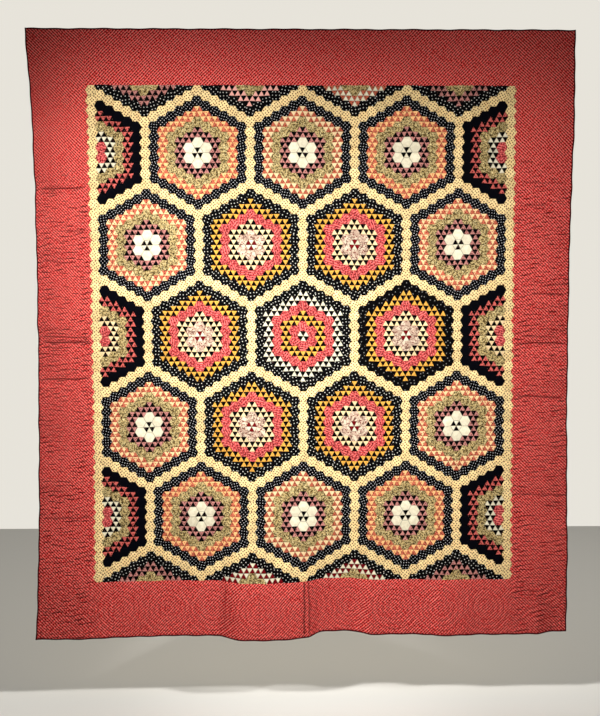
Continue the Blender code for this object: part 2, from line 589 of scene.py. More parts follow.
@dataclass(frozen=True)
class Scroll:
    """Printed lines that wind about, where smooth noise passes a level; core is full colour."""

    colour: Colour
    scale: float
    level: float
    width: float
    strength: float = 1.0
    core: float = 0.4

    def mask(self, nodes: NodeTable, where: bpy.types.NodeSocket) -> Number:
        """1 along the lines and 0 away from them."""
        away = (nodes.noise(where, self.scale, 1.0) - self.level).math("ABSOLUTE")
        return away.step(self.width, self.width * self.core) * self.strength


@dataclass(frozen=True)
class Blotch:
    """Printed patches of a second colour, where smooth noise is above a level."""

    colour: Colour
    scale: float
    level: float
    softness: float = 0.03
    strength: float = 1.0

    def mask(self, nodes: NodeTable, where: bpy.types.NodeSocket) -> Number:
        """1 inside the patches and 0 outside them."""
        spread = nodes.noise(where, self.scale)
        return spread.step(self.level - self.softness, self.level + self.softness) * self.strength


@dataclass(frozen=True)
class AgeingAndShade:
    """How uneven a cotton has grown and how much painted shade its creases take, each value as a share of its
    tone unless it is a length.

    floor is its darkest tone, slub what its thick threads add, and fade what its paler regions
    add, which are about 1 / fade_scale metres wide. tint is how far patches of one cloth differ.
    crease_shade_base is the tone on the flat of a cloth with creases, and crease_shade_strength how much
    painted shade its creases and quilting lines take off it.
    """

    floor: float = 0.86
    slub: float = 0.16
    fade: float = 0.12
    fade_scale: float = 3.0
    tint: float = 0.06
    crease_shade_base: float = 1.11
    crease_shade_strength: float = 0.85
    rough_slub: float = 0.16
    weave_strength: float = 0.35
    weave_height: float = 0.4 * MM


@dataclass(frozen=True)
class QuiltingThread:
    """The stitches inside each hexagon's seam, broken into dashes by fine noise.

    line is how far from the line its colour ends and where it is full, and gaps the noise at
    which a dash starts and at which it is full.
    """

    inset: float = 6.0 * MM
    line: tuple[float, float] = (0.6 * MM, 0.2 * MM)
    scale: float = 640.0
    gaps: tuple[float, float] = (0.47, 0.53)
    strength: float = 0.3


@dataclass(frozen=True)
class Cotton:
    """A cotton cloth: its ground, its print, its age and its painted shade.

    pieced says that the cloth is cut into patches, whose quilting shows on it and whose seams get
    painted shade and soil, straight_grain that its patches were all cut with the print the same way
    up, and creased that it is drawn up in puckers, which get painted shade like its quilting lines.
    """

    name: str
    ground: Colour
    print: tuple[Motif | Stripe | Scroll | Blotch, ...] = ()
    thread: Colour = dye(214, 205, 184)
    roughness: float = 0.88
    gloss: float = 0.04
    pieced: bool = True
    straight_grain: bool = False
    crease_shaded: bool = False
    seam_soil_and_shade: float = 0.35
    seam_width: float = 1.8 * MM
    slub_pitch: tuple[float, float] = (1.2 * MM, 14.0 * MM)
    ageing_and_shade: AgeingAndShade = AgeingAndShade()
    stitches: QuiltingThread = QuiltingThread()

    def material(self) -> bpy.types.Material:
        """The cloth as a material, on the piece's own map named cloth.

        Returns:
            The finished material.
        """
        nodes, age_and_shade = NodeTable(bpy.data.materials.new(self.name)), self.ageing_and_shade
        where = nodes.node("ShaderNodeUVMap", {"uv_map": "cloth"}).outputs[0]
        colour: object = self.ground
        for layer in self.print:
            colour = nodes.mix(layer.mask(nodes, where), colour, layer.colour)
        warp = nodes.noise(nodes.mapped(where, self.slub_pitch, 0.0), 1.0)
        weft = nodes.noise(nodes.mapped(where, self.slub_pitch, 90.0), 1.0)
        slub = (warp + weft) * 0.5
        fade = nodes.noise(nodes.node("ShaderNodeTexCoord").outputs["Object"], age_and_shade.fade_scale)
        tone = age_and_shade.floor + slub * age_and_shade.slub + fade * age_and_shade.fade
        if self.pieced:
            inside = nodes.attribute("inside")
            # Painted shade and soil darken each patch along its seams.
            seam = inside.step(self.seam_width, 0.0)
            tone = (tone + nodes.attribute("tint") * age_and_shade.tint) * (1.0 - seam * self.seam_soil_and_shade)
            colour = self.quilted(nodes, where, inside, colour)
        # Painted shade in the puckers and along the quilting lines, from the crease attribute.
        if self.crease_shaded:
            tone = tone * (age_and_shade.crease_shade_base - nodes.attribute("crease") * age_and_shade.crease_shade_strength)
        weave = {"Strength": age_and_shade.weave_strength, "Distance": age_and_shade.weave_height, "Height": slub}
        bump = nodes.node("ShaderNodeBump", {}, weave)
        surface = {
            "Base Color": nodes.scaled(colour, tone),
            "Roughness": self.roughness - age_and_shade.rough_slub / 2.0 + slub * age_and_shade.rough_slub,
            "Specular IOR Level": self.gloss,
            "Normal": bump.outputs[0],
        }
        shader = nodes.node("ShaderNodeBsdfPrincipled", {}, surface)
        nodes.node("ShaderNodeOutputMaterial", {}, {"Surface": shader.outputs[0]})
        nodes.owner.diffuse_color = (*self.ground, 1.0)
        return nodes.owner

    def quilted(
        self, nodes: NodeTable, where: bpy.types.NodeSocket, inside: Number, colour: object
    ) -> bpy.types.NodeSocket:
        """The colour with the quilting stitches' thread, one line inside each hexagon's seam.

        Args:
            nodes: the material's nodes.
            where: the place on the cloth.
            inside: how far inside the hexagon's seam.
            colour: the printed colour.

        Returns:
            The output that holds the colour.
        """
        stitches = self.stitches
        line = (inside - stitches.inset).math("ABSOLUTE").step(*stitches.line)
        dash = nodes.noise(where, stitches.scale, 0.0).step(*stitches.gaps)
        return nodes.mix(line * dash * stitches.strength, colour, self.thread)


class Fabric(Enum):
    """The cottons that the patches are cut from."""

    YELLOW = "yellow_dotted"
    NIGHT_DOT = "black_large_dot"
    NIGHT_GRID = "black_small_dot"
    NIGHT_SPARSE = "black_sparse_dot"
    INK = "blue_black_plain"
    BLACK = "black_plain"
    OLIVE = "olive_scroll"
    TAN = "tan_floral"
    CORAL = "coral_fleck"
    RED = "brick_red"
    BROWN_RED = "brown_red"
    DARK_RED = "dark_red"
    ORANGE = "soft_orange"
    PEACH = "peach_print"
    CREAM = "cream_plain"
    WHITE = "white_plain"
    MAUVE = "mauve_print"
    ROSE = "rose_print"
    PALE_PINK = "pale_pink"
    GOLD = "gold_plain"


COTTONS: dict[Fabric, Cotton] = {
    Fabric.YELLOW: Cotton(
        Fabric.YELLOW.value,
        dye(250, 222, 162),
        (
            Blotch(dye(242, 200, 134), 22.0, 0.56, 0.1, 0.35),
            Motif(dye(96, 36, 8), (10.8 * MM, 10.8 * MM), 45.0, 0.26, 0.3, 0.25),
        ),
        straight_grain=True,
    ),
    Fabric.NIGHT_DOT: Cotton(
        Fabric.NIGHT_DOT.value,
        dye(3, 3, 4),
        (Motif(dye(214, 212, 206), (14.8 * MM, 14.8 * MM), 40.0, 0.145, 0.16, 0.25),),
        thread=dye(70, 66, 64),
    ),
    Fabric.NIGHT_GRID: Cotton(
        Fabric.NIGHT_GRID.value,
        dye(3, 3, 5),
        (Motif(dye(214, 214, 218), (11.6 * MM, 11.6 * MM), 45.0, 0.14, 0.14, 0.2),),
        thread=dye(70, 66, 64),
    ),
    Fabric.NIGHT_SPARSE: Cotton(
        Fabric.NIGHT_SPARSE.value,
        dye(4, 3, 4),
        (Motif(dye(170, 168, 166), (19.0 * MM, 19.0 * MM), 30.0, 0.1, 0.5, 0.35, 0.8),),
        thread=dye(60, 56, 54),
    ),
    Fabric.INK: Cotton(Fabric.INK.value, dye(3, 3, 9), thread=dye(46, 44, 48), seam_soil_and_shade=0.1),
    Fabric.BLACK: Cotton(
        Fabric.BLACK.value,
        dye(3, 2, 3),
        (Motif(dye(120, 80, 78), (19.0 * MM, 19.0 * MM), 20.0, 0.09, 0.95, 0.35, 0.6),),
    ),
    Fabric.OLIVE: Cotton(
        Fabric.OLIVE.value,
        dye(184, 160, 107),
        (
            Blotch(dye(84, 64, 28), 92.0, 0.54, 0.035, 0.9),
            Scroll(dye(236, 220, 164), 74.0, 0.45, 0.032, 0.95),
            Motif(dye(30, 20, 8), (9.5 * MM, 9.5 * MM), 20.0, 0.24, 0.9, 0.35, 0.9),
        ),
    ),
    Fabric.TAN: Cotton(
        Fabric.TAN.value,
        dye(190, 162, 142),
        (
            Blotch(dye(228, 208, 184), 48.0, 0.52, 0.04, 0.85),
            Scroll(dye(104, 66, 56), 52.0, 0.5, 0.05, 0.9),
            Motif(dye(120, 12, 20), (20.0 * MM, 20.0 * MM), 33.0, 0.14, 0.9, 0.3),
        ),
    ),
    Fabric.CORAL: Cotton(
        Fabric.CORAL.value,
        dye(196, 68, 70),
        (
            Stripe(dye(246, 146, 138), 10.0 * MM, 45.0, 0.28, 0.7),
            Motif(dye(104, 4, 16), (12.5 * MM, 10.0 * MM), 45.0, 0.3, 0.7, 0.3, 0.95),
        ),
    ),
    Fabric.RED: Cotton(
        Fabric.RED.value,
        dye(202, 104, 80),
        (Motif(dye(84, 6, 10), (10.5 * MM, 10.5 * MM), 25.0, 0.24, 0.75, 0.35, 0.95),),
    ),
    Fabric.BROWN_RED: Cotton(
        Fabric.BROWN_RED.value,
        dye(186, 96, 72),
        (Motif(dye(60, 10, 12), (10.5 * MM, 10.5 * MM), 25.0, 0.24, 0.7, 0.35, 0.9),),
    ),
    Fabric.DARK_RED: Cotton(Fabric.DARK_RED.value, dye(108, 12, 20)),
    Fabric.ORANGE: Cotton(
        Fabric.ORANGE.value,
        dye(250, 196, 134),
        (Motif(dye(186, 56, 36), (12.0 * MM, 12.0 * MM), 15.0, 0.21, 0.75, 0.35, 0.95),),
    ),
    Fabric.PEACH: Cotton(
        Fabric.PEACH.value,
        dye(248, 212, 158),
        (Motif(dye(186, 60, 46), (12.0 * MM, 12.0 * MM), 28.0, 0.21, 0.75, 0.35, 0.95),),
    ),
    Fabric.CREAM: Cotton(
        Fabric.CREAM.value,
        dye(240, 212, 164),
        (Motif(dye(214, 150, 108), (11.0 * MM, 11.0 * MM), 28.0, 0.16, 0.6, 0.4, 0.5),),
    ),
    Fabric.WHITE: Cotton(
        Fabric.WHITE.value,
        dye(227, 218, 190),
        (Blotch(dye(242, 234, 208), 60.0, 0.5, 0.08, 0.7),),
        thread=dye(176, 160, 126),
        # Stronger painted shade and soil along the white patches' seams.
        seam_soil_and_shade=0.45,
        seam_width=3.0 * MM,
    ),
    Fabric.MAUVE: Cotton(
        Fabric.MAUVE.value,
        dye(192, 130, 122),
        (Motif(dye(64, 10, 16), (10.5 * MM, 10.5 * MM), 15.0, 0.22, 0.75, 0.35, 0.9),),
    ),
    Fabric.ROSE: Cotton(
        Fabric.ROSE.value,
        dye(206, 100, 92),
        (Motif(dye(84, 6, 14), (10.5 * MM, 10.5 * MM), 15.0, 0.25, 0.75, 0.35, 0.9),),
    ),
    Fabric.PALE_PINK: Cotton(Fabric.PALE_PINK.value, dye(236, 172, 160)),
    Fabric.GOLD: Cotton(
        Fabric.GOLD.value,
        dye(232, 172, 76),
        (Motif(dye(150, 72, 10), (10.5 * MM, 10.5 * MM), 35.0, 0.18, 0.6, 0.4, 0.7),),
    ),
}

CALICO_GROUND = dye(212, 38, 40)
CALICO_FLECK = dye(108, 0, 0)
CALICO_LIGHT = dye(255, 176, 164)


def calico(name: str, turn: float) -> Cotton:
    """The borders' red calico, its diagonal rows at an angle in degrees.

    Args:
        name: the material's name.
        turn: the angle.

    Returns:
        The cloth.
    """
    layers = (
        Stripe(CALICO_LIGHT, 9.6 * MM, turn, 0.3, 0.5),
        Motif(CALICO_FLECK, (13.0 * MM, 9.6 * MM), turn, 0.3, 0.28, 0.2, 1.0),
    )
    # The borders' calico takes painted shade in its puckers and along its quilting lines.
    return Cotton(name, CALICO_GROUND, layers, pieced=False, crease_shaded=True)


Pair = tuple[Fabric, Fabric]


@dataclass(frozen=True)
class Cuts:
    """The cottons of one block, from its eye out; a pair is for triangles that point up and down."""

    eye: Pair
    petals: Fabric
    inner_points: Pair
    field: Fabric
    outer_points: Pair
    rim: Fabric

    def ring(self, distance: int) -> Pair:
        """The cottons of a hexagon this many steps from the eye.

        Args:
            distance: hexagons from the eye.

        Returns:
            The two cottons, which are the same where the hexagon is cut in one.
        """
        rings = (
            self.eye,
            (self.petals, self.petals),
            self.inner_points,
            (self.field, self.field),
            self.outer_points,
            (self.rim, self.rim),
        )
        return rings[distance] if distance < len(rings) else (Fabric.YELLOW, Fabric.YELLOW)


@dataclass(frozen=True)
class Block:
    """One block of the patchwork: the lattice column and the block row of its eye."""

    name: str
    column: int
    row: int
    cuts: Cuts


F = Fabric
BLACK_CREAM: Pair = (F.BLACK, F.CREAM)
BLACK_GOLD: Pair = (F.BLACK, F.GOLD)
BLACK_MAUVE: Pair = (F.BLACK, F.MAUVE)
BLACK_ROSE: Pair = (F.BLACK, F.ROSE)
BLACK_WHITE: Pair = (F.BLACK, F.WHITE)
BROWN_RED_CREAM: Pair = (F.BROWN_RED, F.CREAM)
CREAM_BLACK: Pair = (F.CREAM, F.BLACK)
DARK_RED_WHITE: Pair = (F.DARK_RED, F.WHITE)
GOLD_BLACK: Pair = (F.GOLD, F.BLACK)
MAUVE_BLACK: Pair = (F.MAUVE, F.BLACK)
PALE_PINK_BLACK: Pair = (F.PALE_PINK, F.BLACK)
PEACH_RED: Pair = (F.PEACH, F.RED)
RED_ORANGE: Pair = (F.RED, F.ORANGE)
RED_PEACH: Pair = (F.RED, F.PEACH)
ROSE_BLACK: Pair = (F.ROSE, F.BLACK)
WHITE_BLACK: Pair = (F.WHITE, F.BLACK)
WHITE_BROWN_RED: Pair = (F.WHITE, F.BROWN_RED)
WHITE_DARK_RED: Pair = (F.WHITE, F.DARK_RED)
OLIVE_BLOCK = Cuts(WHITE_BLACK, F.WHITE, MAUVE_BLACK, F.OLIVE, RED_ORANGE, F.NIGHT_GRID)
CORAL_BLOCK = Cuts(WHITE_DARK_RED, F.TAN, CREAM_BLACK, F.CORAL, BLACK_GOLD, F.NIGHT_DOT)
TIP_BLOCK = replace(OLIVE_BLOCK, rim=F.NIGHT_DOT)
HALF_BLOCK = replace(OLIVE_BLOCK, petals=F.CORAL, rim=F.INK)
BLOCKS: tuple[Block, ...] = (
    Block("top_tip_1", -18, 3, replace(TIP_BLOCK, outer_points=BLACK_MAUVE)),
    Block("top_tip_2", -6, 3, replace(TIP_BLOCK, outer_points=PALE_PINK_BLACK)),
    Block("top_tip_3", 6, 3, replace(TIP_BLOCK, outer_points=WHITE_BROWN_RED)),
    Block("top_tip_4", 18, 3, replace(TIP_BLOCK, outer_points=MAUVE_BLACK)),
    Block(
        "row_1_half_left",
        -24,
        2,
        replace(HALF_BLOCK, inner_points=BLACK_WHITE, outer_points=BLACK_ROSE),
    ),
    Block("row_1_left", -12, 2, OLIVE_BLOCK),
    Block("row_1_middle", 0, 2, replace(OLIVE_BLOCK, outer_points=BROWN_RED_CREAM)),
    Block("row_1_right", 12, 2, replace(OLIVE_BLOCK, inner_points=BLACK_MAUVE)),
    Block(
        "row_1_half_right",
        24,
        2,
        replace(HALF_BLOCK, inner_points=WHITE_BLACK, outer_points=ROSE_BLACK),
    ),
    Block(
        "row_2_first",
        -18,
        1,
        replace(OLIVE_BLOCK, eye=BLACK_WHITE, inner_points=BLACK_MAUVE, outer_points=PEACH_RED),
    ),
    Block("row_2_second", -6, 1, replace(CORAL_BLOCK, eye=DARK_RED_WHITE, inner_points=BLACK_CREAM)),
    Block("row_2_third", 6, 1, CORAL_BLOCK),
    Block("row_2_fourth", 18, 1, replace(OLIVE_BLOCK, eye=BLACK_WHITE, outer_points=RED_PEACH)),
    Block(
        "row_3_half_left",
        -24,
        0,
        replace(HALF_BLOCK, inner_points=BLACK_CREAM, outer_points=ROSE_BLACK),
    ),
    Block("row_3_left", -12, 0, CORAL_BLOCK),
    Block(
        "row_3_middle",
        0,
        0,
        replace(
            CORAL_BLOCK,
            eye=WHITE_BLACK,
            petals=F.CORAL,
            inner_points=BLACK_GOLD,
            outer_points=WHITE_BLACK,
        ),
    ),
    Block("row_3_right", 12, 0, replace(CORAL_BLOCK, outer_points=GOLD_BLACK, rim=F.NIGHT_SPARSE)),
    Block(
        "row_3_half_right",
        24,
        0,
        replace(HALF_BLOCK, inner_points=BLACK_CREAM, outer_points=ROSE_BLACK),
    ),
    Block("row_4_first", -18, -1, replace(OLIVE_BLOCK, inner_points=BLACK_MAUVE, outer_points=RED_PEACH)),
    Block("row_4_second", -6, -1, replace(CORAL_BLOCK, eye=DARK_RED_WHITE, outer_points=GOLD_BLACK)),
    Block("row_4_third", 6, -1, replace(CORAL_BLOCK, inner_points=BLACK_CREAM)),
    Block("row_4_fourth", 18, -1, replace(OLIVE_BLOCK, eye=BLACK_WHITE, outer_points=RED_PEACH)),
    Block(
        "row_5_half_left",
        -24,
        -2,
        replace(HALF_BLOCK, inner_points=BLACK_WHITE, outer_points=BLACK_ROSE),
    ),
    Block("row_5_left", -12, -2, replace(OLIVE_BLOCK, eye=BLACK_WHITE, inner_points=BLACK_MAUVE)),
    Block("row_5_middle", 0, -2, replace(OLIVE_BLOCK, outer_points=BROWN_RED_CREAM)),
    Block("row_5_right", 12, -2, OLIVE_BLOCK),
    Block(
        "row_5_half_right",
        24,
        -2,
        replace(HALF_BLOCK, inner_points=WHITE_BLACK, outer_points=ROSE_BLACK),
    ),
    Block("bottom_tip_1", -18, -3, replace(TIP_BLOCK, outer_points=MAUVE_BLACK)),
    Block("bottom_tip_2", -6, -3, replace(TIP_BLOCK, outer_points=DARK_RED_WHITE)),
    Block("bottom_tip_3", 6, -3, replace(TIP_BLOCK, outer_points=WHITE_DARK_RED)),
    Block("bottom_tip_4", 18, -3, replace(TIP_BLOCK, outer_points=MAUVE_BLACK)),
)


@dataclass(frozen=True)
class Cell:
    """A hexagon of the lattice, by its column and its row; odd columns lie half a row off."""

    column: int
    row: float

    def steps_from(self, column: int, row: float) -> int:
        """Hexagons passed on the way to another."""
        aside, above = abs(self.column - column), abs(self.row - row)
        return round(max(aside, above + aside / 2.0))


@dataclass
class PatchForms:
    """The puffed shapes of a whole hexagon and of one pieced from six triangles, flat on XY."""

    sizes: QuiltSizes
    whole_rises: tuple[tuple[float, float], ...] = (
        (1.4 * MM, 0.9 * MM),
        (2.4 * MM, 0.25 * MM),
        (2.2 * MM, -0.8 * MM),
        (2.2 * MM, 0.8 * MM),
        (5.8 * MM, 0.55 * MM),
    )
    whole_crown: float = 0.2 * MM
    point_inset: float = 2.2 * MM
    point_rise: float = 0.7 * MM
    point_crown: float = 0.4 * MM

    def hexagon(self, divided: bool) -> bmesh.types.BMesh:
        """A flat-topped hexagon, as one face or as six triangles, with its edges halved.

        Args:
            divided: whether it is six triangles.

        Returns:
            The flat shape, which keeps how far inside the seam each point lies.
        """
        bm = bmesh.new()
        bm.verts.layers.float.new("inside")
        turn = Matrix.Rotation(math.pi / 6.0, 4, "Z")
        side = self.sizes.hex_side
        bmesh.ops.create_circle(bm, cap_ends=True, cap_tris=divided, segments=6, radius=side, matrix=turn)
        bmesh.ops.subdivide_edges(bm, edges=bm.edges[:], cuts=1)
        for edge in bm.edges:
            edge.smooth = False
        return bm

    @staticmethod
    def deepen(bm: bmesh.types.BMesh, faces: list, thickness: float, rise: float) -> None:
        """Insets each face, and notes how far inside the seam its new corners lie.

        Args:
            bm: the shape.
            faces: its faces.
            thickness: how far in the new edges lie.
            rise: how far up they lie.
        """
        inside = bm.verts.layers.float["inside"]
        depth = faces[0].verts[0][inside] + thickness
        bmesh.ops.inset_individual(bm, faces=faces, thickness=thickness, depth=rise, use_even_offset=True)
        for vert in {vert for face in faces for vert in face.verts}:
            vert[inside] = depth

    @staticmethod
    def crown(bm: bmesh.types.BMesh, faces: list, depth: float, rise: float) -> None:
        """Raises the middle of each face to a point.

        Args:
            bm: the shape.
            faces: its faces.
            depth: how far inside the seam the middle lies.
            rise: how far up it goes.
        """
        inside = bm.verts.layers.float["inside"]
        middles = bmesh.ops.poke(bm, faces=faces, offset=rise)["verts"]
        for vert in middles:
            vert[inside] = depth

    @staticmethod
    def kept(bm: bmesh.types.BMesh, name: str) -> bpy.types.Mesh:
        """The shape as a mesh to stamp from.

        Args:
            bm: the shape, which is used up.
            name: the mesh's name.

        Returns:
            The mesh.
        """
        form = bpy.data.meshes.new(name)
        bm.to_mesh(form)
        bm.free()
        return form

    def whole(self) -> bpy.types.Mesh:
        """A hexagon cut in one: it rises from its seam, dips at the quilting line and crowns.

        Returns:
            The mesh to stamp from.
        """
        bm = self.hexagon(False)
        faces = bm.faces[:]
        for thickness, rise in self.whole_rises:
            self.deepen(bm, faces, thickness, rise)
        self.crown(bm, faces, self.sizes.hex_pitch / 2.0, self.whole_crown)
        return self.kept(bm, "whole_form")

    def points(self) -> bpy.types.Mesh:
        """A hexagon sewn from six triangles; material 0 points up and 1 points down.

        Returns:
            The mesh to stamp from.
        """
        bm = self.hexagon(True)
        for face in bm.faces:
            middle = face.calc_center_median()
            angle = math.degrees(math.atan2(middle.y, middle.x)) % (2.0 * SIXTH_TURN)
            face.material_index = 1 if angle > SIXTH_TURN else 0
        faces = bm.faces[:]
        self.deepen(bm, faces, self.point_inset, self.point_rise)
        self.crown(bm, faces, 2.0 * self.point_inset, self.point_crown)
        return self.kept(bm, "points_form")


def shaded_by(data: bpy.types.Mesh, normals: Array) -> None:
    """Gives a smooth mesh the normals of the cloth it samples, so that its lengths meet unseen."""
    data.polygons.foreach_set("use_smooth", [True] * len(data.polygons))
    data.normals_split_custom_set_from_vertices(normals)


def read_points(data: bpy.types.Mesh) -> Array:
    """A mesh's points, one row each.

    Args:
        data: the mesh.

    Returns:
        The points.
    """
    flat = np.empty(len(data.vertices) * 3)
    data.vertices.foreach_get("co", flat)
    return flat.reshape(-1, 3)


def write_points(data: bpy.types.Mesh, points: Array) -> None:
    """Moves a mesh's points."""
    data.vertices.foreach_set("co", points.astype(np.float32).ravel())
    data.update()


def map_cloth(data: bpy.types.Mesh, flat: Array) -> None:
    """Writes the map named cloth from each point's place on the flat cloth, in metres, upright.

    Args:
        data: the mesh.
        flat: its points' places across and down.
    """
    layer = data.uv_layers.new(name="cloth")
    corners = np.empty(len(data.loops), dtype=np.int32)
    data.loops.foreach_get("vertex_index", corners)
    upright = flat[corners, :2] * (1.0, -1.0)
    layer.data.foreach_set("uv", upright.astype(np.float32).ravel())


def new_piece(name: str, data: bpy.types.Mesh, nodes: Sequence[str]) -> bpy.types.Object:
    """Puts a finished mesh in the scene as a piece of the quilt.

    Args:
        name: the piece's name.
        data: its mesh, in place.
        nodes: the CAD nodes that it stands for.

    Returns:
        The piece, riding on the quilt's one body.
    """
    piece = bpy.data.objects.new(name, data)
    bpy.context.scene.collection.objects.link(piece)
    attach(piece, BODY)
    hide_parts(*nodes)
    log.info("%s: %d faces", name, len(data.polygons))
    return piece


@dataclass
class Patchwork:
    """The centre panel: about 2,400 hexagons, sewn into blocks with a yellow path between them."""

    drape: Drape
    forms: PatchForms
    block_rise: int = 9
    seed: int = 11
    puff_spread: float = 0.3
    scrap_reach: float = 3.0
    weld: float = 0.2 * MM
    trim_fade: float = 4.0 * MM
    turn_spread: float = 7.0

    def cells(self) -> list[Cell]:
        """Every hexagon of the panel, column by column; the top and bottom ones may be halves.

        Returns:
            The hexagons.
        """
        side, half = self.drape.sizes.side_column, self.drape.sizes.hex_rows / 2.0
        found = []
        for column in range(-side, side + 1):
            first = half if column % 2 else half - 0.5
            found += [Cell(column, first - step) for step in range(round(2.0 * first) + 1)]
        return found

    def shares(self) -> dict[str, list[tuple[Cell, int]]]:
        """Each block's hexagons with their steps from its eye; the path goes to the nearest block.

        Returns:
            The hexagons and steps, by the block's name.
        """
        found: dict[str, list[tuple[Cell, int]]] = {block.name: [] for block in BLOCKS}
        for cell in self.cells():
            steps = {b.name: cell.steps_from(b.column, b.row * self.block_rise) for b in BLOCKS}
            nearest = min(steps, key=lambda name: steps[name])
            found[nearest].append((cell, steps[nearest]))
        return found

    def cottons_of(self, block: Block, cell: Cell, steps: int) -> Pair:
        """The cottons of one hexagon; the outermost columns are all path."""
        at_side = abs(cell.column) == self.drape.sizes.side_column
        return (Fabric.YELLOW, Fabric.YELLOW) if at_side else block.cuts.ring(steps)

    def stamp(
        self,
        bm: bmesh.types.BMesh,
        form: bpy.types.Mesh,
        cell: Cell,
        slots: Sequence[int],
        straight: bool,
        chance: np.random.Generator,
    ) -> None:
        """Adds one hexagon.

        Args:
            bm: the block so far, flat on the lattice.
            form: the puffed shape.
            cell: the hexagon's place.
            slots: the material of each of the form's own materials.
            straight: whether its print stays the same way up.
            chance: what varies from patch to patch.
        """
        first_vert, first_face = len(bm.verts), len(bm.faces)
        bm.from_mesh(form)
        cloth, tint = bm.loops.layers.uv["cloth"], bm.faces.layers.float["tint"]
        sixths = 0 if straight else chance.integers(6)
        turn = math.radians(SIXTH_TURN * sixths + chance.normal(0.0, self.turn_spread))
        shift = Vector(chance.uniform(0.0, self.scrap_reach, 2))
        spin = Matrix.Rotation(turn, 2)
        tones = chance.normal(0.0, 1.0, len(slots))
        for face in bm.faces[first_face:]:
            face[tint] = tones[face.material_index]
            face.material_index = slots[face.material_index]
            face.smooth = True
            for loop in face.loops:
                loop[cloth].uv = spin @ loop.vert.co.xy + shift
        sizes = self.drape.sizes
        centre = Vector((1.5 * sizes.hex_side * cell.column, sizes.hex_pitch * cell.row, 0.0))
        puff = 1.0 + self.puff_spread * chance.uniform(-1.0, 1.0)
        move = Matrix.Translation(centre) @ Matrix.Diagonal((1.0, 1.0, puff, 1.0))
        bmesh.ops.transform(bm, matrix=move, verts=bm.verts[first_vert:])

    def trimmed(self, bm: bmesh.types.BMesh) -> None:
        """Cuts off what passes the straight seams of the top and bottom borders.

        Args:
            bm: a block, flat on the lattice.
        """
        edge = self.drape.sizes.hex_rows / 2.0 * self.drape.sizes.hex_pitch
        for side in (1.0, -1.0):
            geometry = bm.verts[:] + bm.edges[:] + bm.faces[:]
            place, away = (0.0, side * edge, 0.0), (0.0, side, 0.0)
            bmesh.ops.bisect_plane(bm, geom=geometry, plane_co=place, plane_no=away, clear_outer=True)

    def hung(self, data: bpy.types.Mesh) -> None:
        """Moves a block from the flat lattice to its place on the hanging quilt.

        Args:
            data: a block's mesh.
        """
        sizes, points = self.drape.sizes, read_points(data)
        down = sizes.down_of(points[:, 1])
        from_trim = np.minimum(down - sizes.top_seam, sizes.bottom_seam - down)
        height = points[:, 2] * np.clip(from_trim / self.trim_fade, 0.0, 1.0)
        write_points(data, self.drape.place(points[:, 0], down, height))

    def build(self, materials: dict[Fabric, bpy.types.Material]) -> list[bpy.types.Object]:
        """Sews every block and hangs it.

        Args:
            materials: the material of each cotton.

        Returns:
            The finished blocks.
        """
        whole, points = self.forms.whole(), self.forms.points()
        chance = np.random.default_rng(self.seed)
        shares = self.shares()
        pieces = [self.block(block, shares[block.name], whole, points, materials, chance) for block in BLOCKS]
        bpy.data.meshes.remove(whole)
        bpy.data.meshes.remove(points)
        return pieces

    def block(
        self,
        block: Block,
        share: list[tuple[Cell, int]],
        whole: bpy.types.Mesh,
        points: bpy.types.Mesh,
        materials: dict[Fabric, bpy.types.Material],
        chance: np.random.Generator,
    ) -> bpy.types.Object:
        """Sews one block.

        Args:
            block: its name, place and cottons.
            share: its hexagons and their steps from the eye.
            whole: the shape of a hexagon cut in one.
            points: the shape of a hexagon sewn from triangles.
            materials: the material of each cotton.
            chance: what varies from patch to patch.

        Returns:
            The finished piece.
        """
        bm = bmesh.new()
        bm.verts.layers.float.new("inside")
        bm.faces.layers.float.new("tint")
        bm.loops.layers.uv.new("cloth")
        used: list[Fabric] = []
        for cell, steps in share:
            pair = self.cottons_of(block, cell, steps)
            used += [fabric for fabric in dict.fromkeys(pair) if fabric not in used]
            form = whole if pair[0] == pair[1] else points
            straight = COTTONS[pair[0]].straight_grain
            self.stamp(bm, form, cell, [used.index(fabric) for fabric in pair], straight, chance)
        bmesh.ops.remove_doubles(bm, verts=bm.verts[:], dist=self.weld)
        self.trimmed(bm)
        data = bpy.data.meshes.new(block.name)
        bm.to_mesh(data)
        bm.free()
        self.hung(data)
        for fabric in used:
            data.materials.append(materials[fabric])
        piece = new_piece(block.name, data, ["centre_panel"])
        return self.declared(piece, [cell for cell, _ in share])

    def declared(self, piece: bpy.types.Object, cells: list[Cell]) -> bpy.types.Object:
        """Works out the width, height and area of cloth the block was sewn to, before it hung,
        and hands the block back.

        Args:
            piece: the block.
            cells: its hexagons.

        Returns:
            The same piece.
        """
        sizes = self.drape.sizes
        edge = sizes.hex_rows / 2.0
        columns = [cell.column for cell in cells]
        tops = [min(cell.row + 0.5, edge) for cell in cells]
        feet = [max(cell.row - 0.5, -edge) for cell in cells]
        wide = (max(columns) - min(columns)) * 1.5 * sizes.hex_side + 2.0 * sizes.hex_side
        tall = (max(tops) - min(feet)) * sizes.hex_pitch
        whole = 1.5 * math.sqrt(3.0) * sizes.hex_side**2
        area = sum(whole * (top - foot) for top, foot in zip(tops, feet))
        return piece


